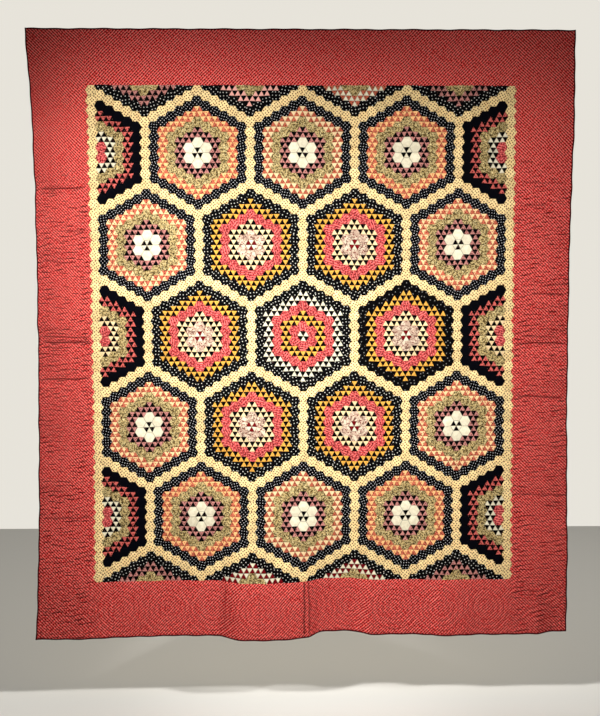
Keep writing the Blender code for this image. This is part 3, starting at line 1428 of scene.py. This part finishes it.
@dataclass(frozen=True)
class Pucker:
    """A long crease, where the quilting or a hem fold has drawn the cloth up.

    It runs between two points, each given by its distances across from the middle and down from
    the top edge. bow is how far its middle leaves the straight line. It starts at end_start of
    its depth and is full after 1 / end_rise of its length.
    """

    start: tuple[float, float]
    end: tuple[float, float]
    depth: float
    bow: float
    end_rise: float = 8.0
    end_start: float = 0.2

    def groove(self, across: Array, down: Array, reach: float) -> Array:
        """How deep the crease is at each point, when it is this wide to either side.

        Args:
            across: distances to the right of the middle.
            down: distances down from the top edge.
            reach: how wide it is to either side.

        Returns:
            One depth for each point.
        """
        run_x, run_y = self.end[0] - self.start[0], self.end[1] - self.start[1]
        length = math.hypot(run_x, run_y)
        off_x, off_y = across - self.start[0], down - self.start[1]
        share = (off_x * run_x + off_y * run_y) / length**2
        aside = (off_y * run_x - off_x * run_y) / length
        aside = np.abs(aside - self.bow * np.sin(math.pi * np.clip(share, 0.0, 1.0)))
        ends = ease(np.minimum(share, 1.0 - share) * self.end_rise + self.end_start)
        ends = np.where((share > 0.0) & (share < 1.0), ends, 0.0)
        return self.depth * (1.0 - ease(aside / reach)) * ends


@dataclass
class FinePuckers:
    """The uneven creases between stitches, as many crossing waves added together.

    The waves are shortest to longest from crease to crease, and run at least least_run before
    they turn. Their sum is cut off below level, and rises from there to one over rise.
    """

    waves: int = 44
    shortest: float = 9.0 * MM
    longest: float = 28.0 * MM
    least_run: float = 0.048
    level: float = 0.1
    rise: float = 1.8
    most: float = 1.2
    seed: int = 5
    turns: Array = field(init=False)

    def __post_init__(self) -> None:
        """Draws the waves: how fast each one turns along and down, where it starts, its share."""
        chance = np.random.default_rng(self.seed)
        lengths = self.shortest * (self.longest / self.shortest) ** chance.uniform(0.0, 1.0, self.waves)
        along = chance.uniform(-1.0, 1.0, self.waves) / self.least_run
        start = chance.uniform(0.0, 1.0, self.waves)
        share = np.sqrt(lengths / self.longest)
        share /= math.sqrt(float(np.sum(share**2)) / 2.0)
        turn = 2.0 * math.pi
        self.turns = np.stack([turn * along, turn / lengths, turn * start, share], axis=1)

    def depth(self, along: Array, down: Array) -> Array:
        """0 between creases to about 1 in the deepest ones, which run along.

        Args:
            along: places along the creases.
            down: places across them.

        Returns:
            One depth for each point, as a share.
        """
        total = np.zeros_like(along)
        for turn_along, turn_down, start, share in self.turns:
            total += share * np.sin(turn_along * along + turn_down * down + start)
        return np.clip((total - self.level) / self.rise, 0.0, self.most)


@dataclass
class BorderQuilting:
    """The relief of the borders: rings quilted round a row of eyes, and puckers.

    The eyes are eye_pitch apart along a border's middle and the rings ring_pitch from each other.
    line_shade is how much painted shade a quilting line puts on the cloth at the hem, and upper_share
    how much of the quilting shows elsewhere. sink is how far the cloth lies under the patchwork's edge.
    end_share is how deep the fine puckers are in the bottom border, against those of the sides.
    """

    sizes: QuiltSizes
    fine: FinePuckers = field(default_factory=FinePuckers)
    puff: float = 2.2 * MM
    eye_pitch: float = 0.205
    ring_pitch: float = 23.0 * MM
    line_shade: float = 0.44
    upper_share: float = 0.35
    bold_reach: float = 0.2
    sink: float = 0.9 * MM
    sink_reach: float = 4.0 * MM
    seam_fade: float = 7.0 * MM
    fine_depth: float = 2.4 * MM
    fine_start: float = 0.40
    fine_reach: float = 0.45
    end_share: float = 0.4
    pucker_width: float = 7.0 * MM
    deepest: float = 2.6 * MM
    puckers: tuple[Pucker, ...] = (
        Pucker((-1.165, 0.690), (-0.950, 0.684), 2.6 * MM, 1.5 * MM),
        Pucker((-1.160, 0.708), (-1.080, 0.712), 1.8 * MM, 0.0 * MM),
        Pucker((-1.050, 0.875), (-0.945, 0.872), 1.8 * MM, 1.0 * MM),
        Pucker((-1.150, 1.000), (-1.050, 1.015), 1.8 * MM, 2.0 * MM),
        Pucker((-1.165, 1.339), (-0.940, 1.343), 2.2 * MM, 1.0 * MM),
        Pucker((-1.165, 1.366), (-0.940, 1.362), 2.8 * MM, 1.0 * MM),
        Pucker((-1.150, 1.388), (-1.060, 1.390), 2.0 * MM, 1.0 * MM),
        Pucker((-1.165, 1.528), (-0.940, 1.524), 2.6 * MM, 1.5 * MM),
        Pucker((-1.165, 2.150), (-0.945, 2.146), 1.8 * MM, 2.0 * MM),
        Pucker((0.955, 0.575), (1.010, 0.577), 1.8 * MM, 0.0 * MM),
        Pucker((0.960, 0.668), (1.160, 0.664), 1.4 * MM, 1.0 * MM),
        Pucker((0.960, 0.768), (1.080, 0.763), 1.8 * MM, 1.5 * MM),
        Pucker((1.010, 1.156), (1.165, 1.158), 2.2 * MM, -2.0 * MM),
        Pucker((0.960, 1.345), (1.150, 1.347), 1.8 * MM, 1.0 * MM),
        Pucker((0.950, 1.380), (1.175, 1.376), 2.8 * MM, -5.0 * MM),
        Pucker((0.950, 1.612), (1.170, 1.620), 2.4 * MM, -2.0 * MM),
        Pucker((0.950, 2.050), (1.170, 2.056), 1.8 * MM, 2.0 * MM),
        Pucker((0.004, 2.425), (0.003, 2.690), 2.8 * MM, 1.0 * MM),
        Pucker((0.022, 2.425), (0.025, 2.690), 2.2 * MM, -1.0 * MM),
        Pucker((-0.348, 2.450), (-0.352, 2.660), 1.5 * MM, 1.5 * MM),
        Pucker((-0.326, 2.500), (-0.328, 2.640), 1.2 * MM, 1.0 * MM),
        Pucker((-0.196, 2.480), (-0.198, 2.670), 1.0 * MM, 1.0 * MM),
    )

    def drawn_up(self, across: Array, down: Array) -> Array:
        """How deep the puckers are at each point.

        Args:
            across: distances to the right of the middle.
            down: distances down from the top edge.

        Returns:
            One depth for each point.
        """
        sizes = self.sizes
        at_side = ease((np.abs(across) - sizes.panel_half) / self.seam_fade + 0.5)
        fade = ease((down - self.fine_start) / self.fine_reach)
        depth = self.fine_depth * fade * at_side * self.fine.depth(across, down)
        low = self.end_share * self.fine_depth * ease((down - sizes.bottom_seam) / self.seam_fade)
        depth = np.maximum(depth, low * self.fine.depth(down, across) * (1.0 - at_side))
        for pucker in self.puckers:
            depth = np.maximum(depth, pucker.groove(across, down, self.pucker_width))
        return depth

    def rings(self, along: Array, aside: Array) -> Array:
        """0 on a quilting line and 1 between lines, for a strip whose middle is at aside 0."""
        from_eye = along - self.eye_pitch * np.round(along / self.eye_pitch)
        return np.abs(np.cos(math.pi * np.hypot(from_eye, aside) / self.ring_pitch))

    def quilted(self, across: Array, down: Array) -> Array:
        """0 on a quilting line and 1 between lines, on whichever border a point lies.

        Args:
            across: distances to the right of the middle.
            down: distances down from the top edge.

        Returns:
            One value for each point.
        """
        sizes = self.sizes
        side_middle = sizes.panel_half + sizes.side_border / 2.0
        upper = down < sizes.height / 2.0
        end_middle = np.where(upper, sizes.top_seam / 2.0, sizes.height - sizes.bottom_border / 2.0)
        beside = (down > sizes.top_seam) & (down < sizes.bottom_seam)
        at_side = (np.abs(across) > sizes.panel_half - 2.0 * sizes.scallop) & beside
        at_side |= np.abs(across) > sizes.panel_half
        side = self.rings(down, np.abs(across) - side_middle)
        return np.where(at_side, side, self.rings(across, down - end_middle))

    def boldness(self, down: Array) -> Array:
        """How strongly the quilting shows, from its upper share to 1 round the hem."""
        hem = ease((down - self.sizes.bottom_seam) / self.bold_reach + 0.5)
        return self.upper_share + (1.0 - self.upper_share) * hem

    def height(self, across: Array, down: Array) -> Array:
        """How far the border stands proud at each point; it sinks where the patchwork laps it.

        Args:
            across: distances to the right of the middle.
            down: distances down from the top edge.

        Returns:
            One height for each point.
        """
        sizes = self.sizes
        beside = (down > sizes.top_seam) & (down < sizes.bottom_seam)
        outside = np.where(
            beside,
            np.abs(across) - sizes.outline(down),
            np.maximum(sizes.top_seam - down, down - sizes.bottom_seam),
        )
        seams = np.where(beside, outside, np.abs(np.abs(across) - sizes.panel_half))
        from_end = np.abs(across + sizes.panel_half - sizes.bottom_end)
        end_seam = np.where(down > sizes.bottom_seam, from_end, 1.0)
        rim = np.minimum.reduce([sizes.half_width - np.abs(across), down, sizes.height - down])
        from_rest = np.minimum.reduce([outside, seams, end_seam, rim - sizes.binding_width])
        calm = ease(from_rest / self.seam_fade)
        lapped = self.sink * (1.0 - ease(outside / self.sink_reach))
        puffed = self.puff * self.boldness(down) * np.sqrt(self.quilted(across, down))
        return (puffed - self.drawn_up(across, down)) * calm - lapped

    def marked(self, data: bpy.types.Mesh, flat: Array) -> None:
        """Keeps on each point how deep in a pucker or a quilting line it lies, as the attribute crease,
        which the calico paints as shade.

        Args:
            data: a border's mesh.
            flat: its points' places across and down.
        """
        across, down = flat[:, 0], flat[:, 1]
        # Painted shade along the quilting lines, strongest round the hem.
        line = self.line_shade * self.boldness(down) * (1.0 - self.quilted(across, down))
        depth = np.maximum(self.drawn_up(across, down) / self.deepest, line)
        layer = data.attributes.new("crease", "FLOAT", "POINT")
        layer.data.foreach_set("value", np.clip(depth, 0.0, 1.0).astype(np.float32))


Relief = Callable[[Array, Array], Array]
Placing = Callable[[Array, Array], tuple[Array, Array]]


@dataclass
class ClothGrid:
    """Makes a length of whole cloth as a fine grid over the hanging quilt."""

    drape: Drape
    step: float = 0.8 * MM

    def flat_grid(self, cells: tuple[int, int], where: Placing) -> tuple[bpy.types.Mesh, Array]:
        """A grid on the flat cloth.

        Args:
            cells: how many cells lie across and down.
            where: gives the places across and down of the shares across and down, from 0 to 1.

        Returns:
            The mesh and each of its points' places across and down.
        """
        bm = bmesh.new()
        bmesh.ops.create_grid(bm, x_segments=cells[0], y_segments=cells[1], size=0.5)
        data = bpy.data.meshes.new("cloth")
        bm.to_mesh(data)
        bm.free()
        shares = read_points(data) + 0.5
        across, down = where(shares[:, 0], 1.0 - shares[:, 1])
        return data, np.stack([across, down], axis=1)

    def normals(self, flat: Array, height: Relief, faces_back: bool) -> Array:
        """The cloth's own normals, from points a small step to either side.

        Args:
            flat: the points' places across and down.
            height: the cloth's relief.
            faces_back: whether the cloth faces backwards.

        Returns:
            One normal for each point.
        """

        def at(aside: float, below: float) -> Array:
            """The places a step away."""
            across, down = flat[:, 0] + aside, flat[:, 1] + below
            return self.drape.place(across, down, height(across, down))

        along = at(self.step, 0.0) - at(-self.step, 0.0)
        fall = at(0.0, self.step) - at(0.0, -self.step)
        found = np.cross(along, fall) if faces_back else np.cross(fall, along)
        return found / np.linalg.norm(found, axis=1, keepdims=True)

    def hang(self, data: bpy.types.Mesh, flat: Array, height: Relief, faces_back: bool = False) -> None:
        """Hangs a flat mesh in its relief, with its map and its normals.

        Args:
            data: the flat mesh.
            flat: its points' places across and down.
            height: the cloth's relief.
            faces_back: whether the cloth faces backwards.
        """
        map_cloth(data, flat)
        write_points(data, self.drape.place(flat[:, 0], flat[:, 1], height(flat[:, 0], flat[:, 1])))
        if faces_back:
            data.flip_normals()
        shaded_by(data, self.normals(flat, height, faces_back))


@dataclass
class Borders:
    """The red calico borders: two full-height sides, a top, and a bottom with a turned end piece."""

    drape: Drape
    relief: BorderQuilting
    cell: float = 4.2 * MM
    side_cells: tuple[float, float] = (5.6 * MM, 2.2 * MM)
    under_hexagons: float = 3.0 * MM
    under_straight: float = 3.5 * MM
    under_binding: float = 4.0 * MM
    side_lengths: int = 4
    end_lengths: int = 3

    def finish(self, piece: bpy.types.Object, wide: float, tall: float) -> bpy.types.Object:
        """Takes the length and the size of its cloth, and hands the length back as it is."""
        return piece

    def side(self, name: str, side: int, material: bpy.types.Material) -> list[bpy.types.Object]:
        """One side border, in lengths that meet unseen.

        Args:
            name: the CAD node that it stands for.
            side: -1 for the left and 1 for the right.
            material: its calico.

        Returns:
            The finished lengths, from the top.
        """
        sizes, grid, pieces = self.drape.sizes, ClothGrid(self.drape), []
        outer = sizes.half_width - self.under_binding
        top, foot = self.under_binding, sizes.height - self.under_binding
        ends = np.linspace(top, foot, self.side_lengths + 1)
        for number, (start, end) in enumerate(zip(ends[:-1], ends[1:]), 1):

            def where(share_across: Array, share_down: Array) -> tuple[Array, Array]:
                """Columns from the patchwork's zigzag to under the binding.

                Args:
                    share_across: shares of the width, from the left.
                    share_down: shares of the length's height.

                Returns:
                    Places across and down.
                """
                down = start + share_down * (end - start)
                beside = (down > sizes.top_seam + MM) & (down < sizes.bottom_seam - MM)
                inner = np.where(beside, sizes.outline(down) - self.under_hexagons, sizes.panel_half)
                reach = share_across if side > 0 else 1.0 - share_across
                return side * (inner + reach * (outer - inner)), down

            wide, tall = self.side_cells
            cells = (round(sizes.side_border / wide), round((end - start) / tall))
            data, flat = grid.flat_grid(cells, where)
            grid.hang(data, flat, self.relief.height)
            self.relief.marked(data, flat)
            data.materials.append(material)
            piece = new_piece(f"{name}_length_{number}", data, [name])
            pieces.append(self.finish(piece, sizes.side_border, (end - start) / sizes.hang_stretch))
        return pieces

    def strip(
        self,
        name: str,
        label: str,
        left: float,
        right: float,
        rows: tuple[float, float],
        material: bpy.types.Material,
    ) -> bpy.types.Object:
        """One length of the top or bottom border.

        Args:
            name: the CAD node that it stands for.
            label: the piece's name.
            left: where it starts across.
            right: where it ends across.
            rows: its upper and lower edge.
            material: its calico.

        Returns:
            The finished piece.
        """
        grid = ClothGrid(self.drape)

        def where(share_across: Array, share_down: Array) -> tuple[Array, Array]:
            """Plain columns and rows."""
            return left + share_across * (right - left), rows[0] + share_down * (rows[1] - rows[0])

        cells = (round((right - left) / self.cell), round((rows[1] - rows[0]) / self.cell))
        data, flat = grid.flat_grid(cells, where)
        grid.hang(data, flat, self.relief.height)
        self.relief.marked(data, flat)
        data.materials.append(material)
        piece = new_piece(label, data, [name])
        return self.finish(piece, right - left, rows[1] - rows[0])

    def build(self) -> list[bpy.types.Object]:
        """All the borders.

        Returns:
            The finished pieces.
        """
        sizes = self.drape.sizes
        falling = calico("red_calico_falling", -45.0).material()
        rising = calico("red_calico_rising", 45.0).material()
        pieces = self.side("border_left", -1, falling) + self.side("border_right", 1, falling)
        half, cut = sizes.panel_half, -sizes.panel_half + sizes.bottom_end
        top_rows = (self.under_binding, sizes.top_seam + self.under_straight)
        foot_rows = (sizes.bottom_seam - self.under_straight, sizes.height - self.under_binding)
        for name, start, rows in (("border_top", -half, top_rows), ("border_bottom", cut, foot_rows)):
            ends = np.linspace(start, half, self.end_lengths + 1)
            for number, (left, right) in enumerate(zip(ends[:-1], ends[1:]), 1):
                pieces.append(self.strip(name, f"{name}_length_{number}", left, right, rows, rising))
        label = "border_bottom_end_cloth"
        pieces.append(self.strip("border_bottom_end", label, -half, cut, foot_rows, falling))
        return pieces


@dataclass
class Binding:
    """The dark binding, folded over all four edges.

    profile runs round the edge from the front: how far in from the edge, and how far proud of
    the cloth's front. pinch is how much its fold swells and narrows between stitches, every
    pinch_length, and strongest every half of pinch_beat. An end has end_fullness of its bulk.
    """

    drape: Drape
    cell: float = 6.0 * MM
    pinch: float = 0.0875
    pinch_length: float = 0.017
    pinch_beat: float = 0.23
    end_fullness: float = 0.75
    profile_step: float = 2.0 * MM
    same_place: float = 1e-6
    tape_width: float = 0.021
    corner: float = 3.0 * MM
    profile: tuple[tuple[float, float], ...] = (
        (7.0 * MM, -0.3 * MM),
        (6.2 * MM, 0.7 * MM),
        (4.2 * MM, 1.3 * MM),
        (1.8 * MM, 1.1 * MM),
        (0.4 * MM, 0.0 * MM),
        (0.0 * MM, -2.0 * MM),
        (0.4 * MM, -4.0 * MM),
        (1.8 * MM, -5.0 * MM),
        (4.2 * MM, -5.2 * MM),
        (6.2 * MM, -4.7 * MM),
        (7.0 * MM, -3.7 * MM),
    )

    def length(self, name: str, start: float, end: float, material: bpy.types.Material) -> bpy.types.Object:
        """One length of binding, whose two ends are folded in.

        Args:
            name: the CAD node that it stands for, which ends in left, right, top or bottom.
            start: where it starts along its edge.
            end: where it ends along its edge.
            material: its cloth.

        Returns:
            The finished piece.
        """
        sizes = self.drape.sizes
        upright = name.endswith(("left", "right"))
        bm = bmesh.new()
        cells = (round((end - start) / self.cell), len(self.profile) - 1)
        bmesh.ops.create_grid(bm, x_segments=cells[0], y_segments=cells[1], size=0.5)
        for side in (-0.5, 0.5):
            rim = [
                edge
                for edge in bm.edges
                if all(abs(vert.co.x - side) < self.same_place for vert in edge.verts)
            ]
            bmesh.ops.contextual_create(bm, geom=rim)
        data = bpy.data.meshes.new(name)
        bm.to_mesh(data)
        bm.free()
        shares = read_points(data) + 0.5
        along = start + shares[:, 0] * (end - start)
        turns = np.round(shares[:, 1] * (len(self.profile) - 1)).astype(int)
        table = np.array(self.profile)
        inward, proud = table[turns, 0], table[turns, 1]
        middle = -sizes.thickness / 2.0
        round_trip = 2.0 * math.pi * along
        wave = np.sin(round_trip / self.pinch_length) * np.sin(round_trip / self.pinch_beat)
        from_end = ease(np.minimum(along - start, end - along) / self.corner)
        full = (1.0 + self.pinch * wave) * (self.end_fullness + (1.0 - self.end_fullness) * from_end)
        proud = middle + (proud - middle) * full
        if upright:
            side = -1.0 if name.endswith("left") else 1.0
            flat = np.stack([side * (sizes.half_width - inward), along], axis=1)
        else:
            edge = inward if name.endswith("top") else sizes.height - inward
            flat = np.stack([along, edge], axis=1)
        map_cloth(data, np.stack([along, turns * self.profile_step], axis=1))
        write_points(data, self.drape.place(flat[:, 0], flat[:, 1], proud))
        self.faced_out(data)
        data.materials.append(material)
        piece = new_piece(name + "_tape", data, [name])
        return (piece, end - start)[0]

    @staticmethod
    def faced_out(data: bpy.types.Mesh) -> None:
        """Turns the faces outwards and shades them smooth.

        Args:
            data: a length of binding.
        """
        bm = bmesh.new()
        bm.from_mesh(data)
        bmesh.ops.recalc_face_normals(bm, faces=bm.faces[:])
        front = max(bm.faces, key=lambda face: -face.calc_center_median().y)
        if front.normal.y > 0.0:
            bmesh.ops.reverse_faces(bm, faces=bm.faces[:])
        for face in bm.faces:
            face.smooth = True
        bm.to_mesh(data)
        bm.free()

    def build(self) -> list[bpy.types.Object]:
        """The four lengths; the sides run past the top and bottom ones.

        Returns:
            The finished pieces.
        """
        sizes = self.drape.sizes
        cloth = Cotton(
            "binding_dark_red",
            dye(72, 14, 20),
            (Motif(dye(30, 6, 10), (5.0 * MM, 5.0 * MM), 30.0, 0.25, 0.8, 0.4, 0.6),),
            pieced=False,
        ).material()
        inner = sizes.half_width - sizes.binding_width
        return [
            self.length("binding_left", 0.0, sizes.height, cloth),
            self.length("binding_right", 0.0, sizes.height, cloth),
            self.length("binding_top", -inner, inner, cloth),
            self.length("binding_bottom", -inner, inner, cloth),
        ]


@dataclass
class Backing:
    """The muslin back, drawn up by the quilting of the hexagons and of the borders.

    behind names the CAD nodes that it covers from behind.
    """

    drape: Drape
    relief: BorderQuilting
    under_binding: float = 5.0 * MM
    puff: float = 1.0 * MM
    quilt_line: float = 6.0 * MM
    line_reach: float = 7.0 * MM
    blend_reach: float = 8.0 * MM
    behind: tuple[str, ...] = (
        "centre_panel",
        "border_left",
        "border_right",
        "border_top",
        "border_bottom",
        "border_bottom_end",
    )

    def height(self, across: Array, down: Array) -> Array:
        """How far the back lies behind the front, as a negative height.

        Args:
            across: distances to the right of the middle.
            down: distances down from the top edge.

        Returns:
            One height for each point.
        """
        sizes = self.drape.sizes
        from_line = np.abs(sizes.inside_seam(across, down) - self.quilt_line)
        hexagons = ease(from_line / self.line_reach)
        inside = np.minimum.reduce([
            sizes.panel_half - np.abs(across), down - sizes.top_seam, sizes.bottom_seam - down,
        ])
        borders = np.maximum(self.relief.height(across, down), 0.0) / self.relief.puff
        in_panel = ease(inside / self.blend_reach + 0.5)
        rim = np.minimum.reduce([sizes.half_width - np.abs(across), down, sizes.height - down])
        calm = ease((rim - sizes.binding_width) / self.relief.seam_fade)
        puff = self.puff * calm * (hexagons * in_panel + borders * (1.0 - in_panel))
        return -sizes.thickness - puff

    def build(self) -> list[bpy.types.Object]:
        """The back, on a grid of triangles three to a hexagon's side, so that it takes its lines.

        Returns:
            The finished piece, in a list.
        """
        sizes = self.drape.sizes
        grid = ClothGrid(self.drape)
        cell, row = sizes.hex_side / 3.0, sizes.row_pitch / 6.0
        half, top = sizes.half_width - self.under_binding, self.under_binding
        tall = sizes.height - 2.0 * self.under_binding
        columns, rows = math.floor(2.0 * half / cell), math.floor(tall / row)

        def where(share_across: Array, share_down: Array) -> tuple[Array, Array]:
            """Rows on the lattice, every other one half a cell along.

            Args:
                share_across: shares of the width, from the left.
                share_down: shares of the height.

            Returns:
                Places across and down.
            """
            number = np.round(share_down * rows)
            shift = cell / 2.0 * (number % 2.0)
            across = -half + (2.0 * half - cell / 2.0) * share_across + shift
            return across, top + tall * share_down

        data, flat = grid.flat_grid((columns, rows), where)
        grid.hang(data, flat, self.height, faces_back=True)
        muslin = Cotton(
            "cream_muslin",
            dye(226, 214, 188),
            (Blotch(dye(216, 202, 172), 26.0, 0.56, 0.2, 0.22),),
            pieced=False,
        )
        data.materials.append(muslin.material())
        piece = new_piece("backing", data, self.behind)
        return [piece]


@dataclass(frozen=True)
class Lamp:
    """A square soft light: where it stands, what it is turned to, and how it throws.

    power is in watts, size is its side in metres, and spread the angle of its throw in degrees.
    """

    name: str
    place: Point
    aim: Point
    power: float
    size: float
    spread: float


@dataclass
class Studio:
    """A plain pale floor, soft light from both sides above, a light for the back, the camera."""

    sizes: QuiltSizes
    floor_gap: float = 0.3
    floor_size: float = 6.4
    floor_colour: Colour = (0.70, 0.69, 0.66)
    floor_roughness: float = 0.9
    floor_gloss: float = 0.1
    lamps: tuple[Lamp, ...] = (
        Lamp("key", (-2.3, -2.0, 1.1), (0.12, 0.0, -1.62), 17.4, 0.4, 41.0),
        Lamp("side", (2.85, -1.85, 1.1), (-0.95, 0.0, -2.14), 15.6, 0.4, 43.0),
        Lamp("back", (1.0, 3.4, 1.6), (0.0, 0.0, -1.3), 40.0, 2.2, 140.0),
    )
    camera_place: Point = (-0.055, -4.16, -1.175)
    camera_yaw: float = 0.57
    camera_tilt: float = 3.6
    camera_roll: float = -0.14
    focal_pixels: float = 936.7
    image_height: float = 716.0
    sensor: float = 36.0
    lamp_colour: Colour = (1.0, 0.975, 0.94)
    room_near: Colour = (0.17, 0.168, 0.16)
    room_far: Colour = (0.80, 0.77, 0.70)
    room_turn: tuple[float, float] = (0.1, 0.7)

    def floor(self) -> None:
        """A pale floor, a little below the hem."""
        bm = bmesh.new()
        bmesh.ops.create_grid(bm, x_segments=1, y_segments=1, size=self.floor_size / 2.0)
        bmesh.ops.translate(bm, verts=bm.verts[:], vec=(0.0, 0.0, -self.sizes.height - self.floor_gap))
        data = bpy.data.meshes.new("floor")
        bm.to_mesh(data)
        bm.free()
        nodes = NodeTable(bpy.data.materials.new("pale_floor"))
        surface = {
            "Base Color": (*self.floor_colour, 1.0),
            "Roughness": self.floor_roughness,
            "Specular IOR Level": self.floor_gloss,
        }
        shader = nodes.node("ShaderNodeBsdfPrincipled", {}, surface)
        nodes.node("ShaderNodeOutputMaterial", {}, {"Surface": shader.outputs[0]})
        data.materials.append(nodes.owner)
        floor = bpy.data.objects.new("floor", data)
        bpy.context.scene.collection.objects.link(floor)

    def light(self, lamp: Lamp) -> None:
        """Puts a lamp in the room.

        Args:
            lamp: its place, aim and strength.
        """
        data = bpy.data.lights.new(lamp.name, "AREA")
        data.energy, data.size, data.spread = lamp.power, lamp.size, math.radians(lamp.spread)
        data.color = self.lamp_colour
        made = bpy.data.objects.new(lamp.name, data)
        made.location = lamp.place
        made.rotation_mode = "QUATERNION"
        made.rotation_quaternion = (Vector(lamp.aim) - Vector(lamp.place)).to_track_quat("-Z", "Y")
        bpy.context.scene.collection.objects.link(made)

    def lights(self) -> None:
        """The lamps, and a room that is paler behind the quilt than before it."""
        for lamp in self.lamps:
            self.light(lamp)
        world = bpy.data.worlds.new("room")
        nodes = NodeTable(world)
        facing = nodes.node("ShaderNodeTexCoord").outputs["Generated"]
        ahead = nodes.number("ShaderNodeSeparateXYZ", {}, {"Vector": facing}, output=1)
        shade = nodes.mix(ahead.step(*self.room_turn), self.room_near, self.room_far)
        background = nodes.node("ShaderNodeBackground", {}, {"Color": shade})
        nodes.node("ShaderNodeOutputWorld", {}, {"Surface": background.outputs[0]})
        bpy.context.scene.world = world
        bpy.context.scene.view_settings.view_transform = "Standard"

    def camera(self) -> None:
        """The camera at the photograph's viewing angle."""
        angles = (self.camera_yaw, self.camera_tilt, self.camera_roll)
        yaw, tilt, roll = (math.radians(angle) for angle in angles)
        ahead = Vector((math.sin(yaw) * math.cos(tilt), math.cos(yaw) * math.cos(tilt), -math.sin(tilt)))
        level = Vector((math.cos(yaw), -math.sin(yaw), 0.0))
        upright = level.cross(ahead)
        right = level * math.cos(roll) + upright * math.sin(roll)
        up = upright * math.cos(roll) - level * math.sin(roll)
        data = bpy.data.cameras.new("camera")
        data.sensor_fit, data.sensor_width = "AUTO", self.sensor
        data.lens = self.focal_pixels * self.sensor / self.image_height
        camera = bpy.data.objects.new("camera", data)
        turned = Matrix((right, up, -ahead)).transposed().to_4x4()
        camera.matrix_world = Matrix.Translation(self.camera_place) @ turned
        bpy.context.scene.collection.objects.link(camera)
        bpy.context.scene.camera = camera

    def build(self) -> None:
        """The floor, the lights and the camera."""
        self.floor()
        self.lights()
        self.camera()


def main() -> None:
    """Builds the quilt, piece by piece, and the studio round it."""
    logging.basicConfig(level=logging.INFO, format="%(message)s")
    sizes = QuiltSizes()
    drape = Drape(sizes)
    relief = BorderQuilting(sizes)
    Studio(sizes).build()
    materials = {fabric: cotton.material() for fabric, cotton in COTTONS.items()}
    Patchwork(drape, PatchForms(sizes)).build(materials)
    Borders(drape, relief).build()
    Binding(drape).build()
    Backing(drape, relief).build()


if __name__ == "__main__":
    main()
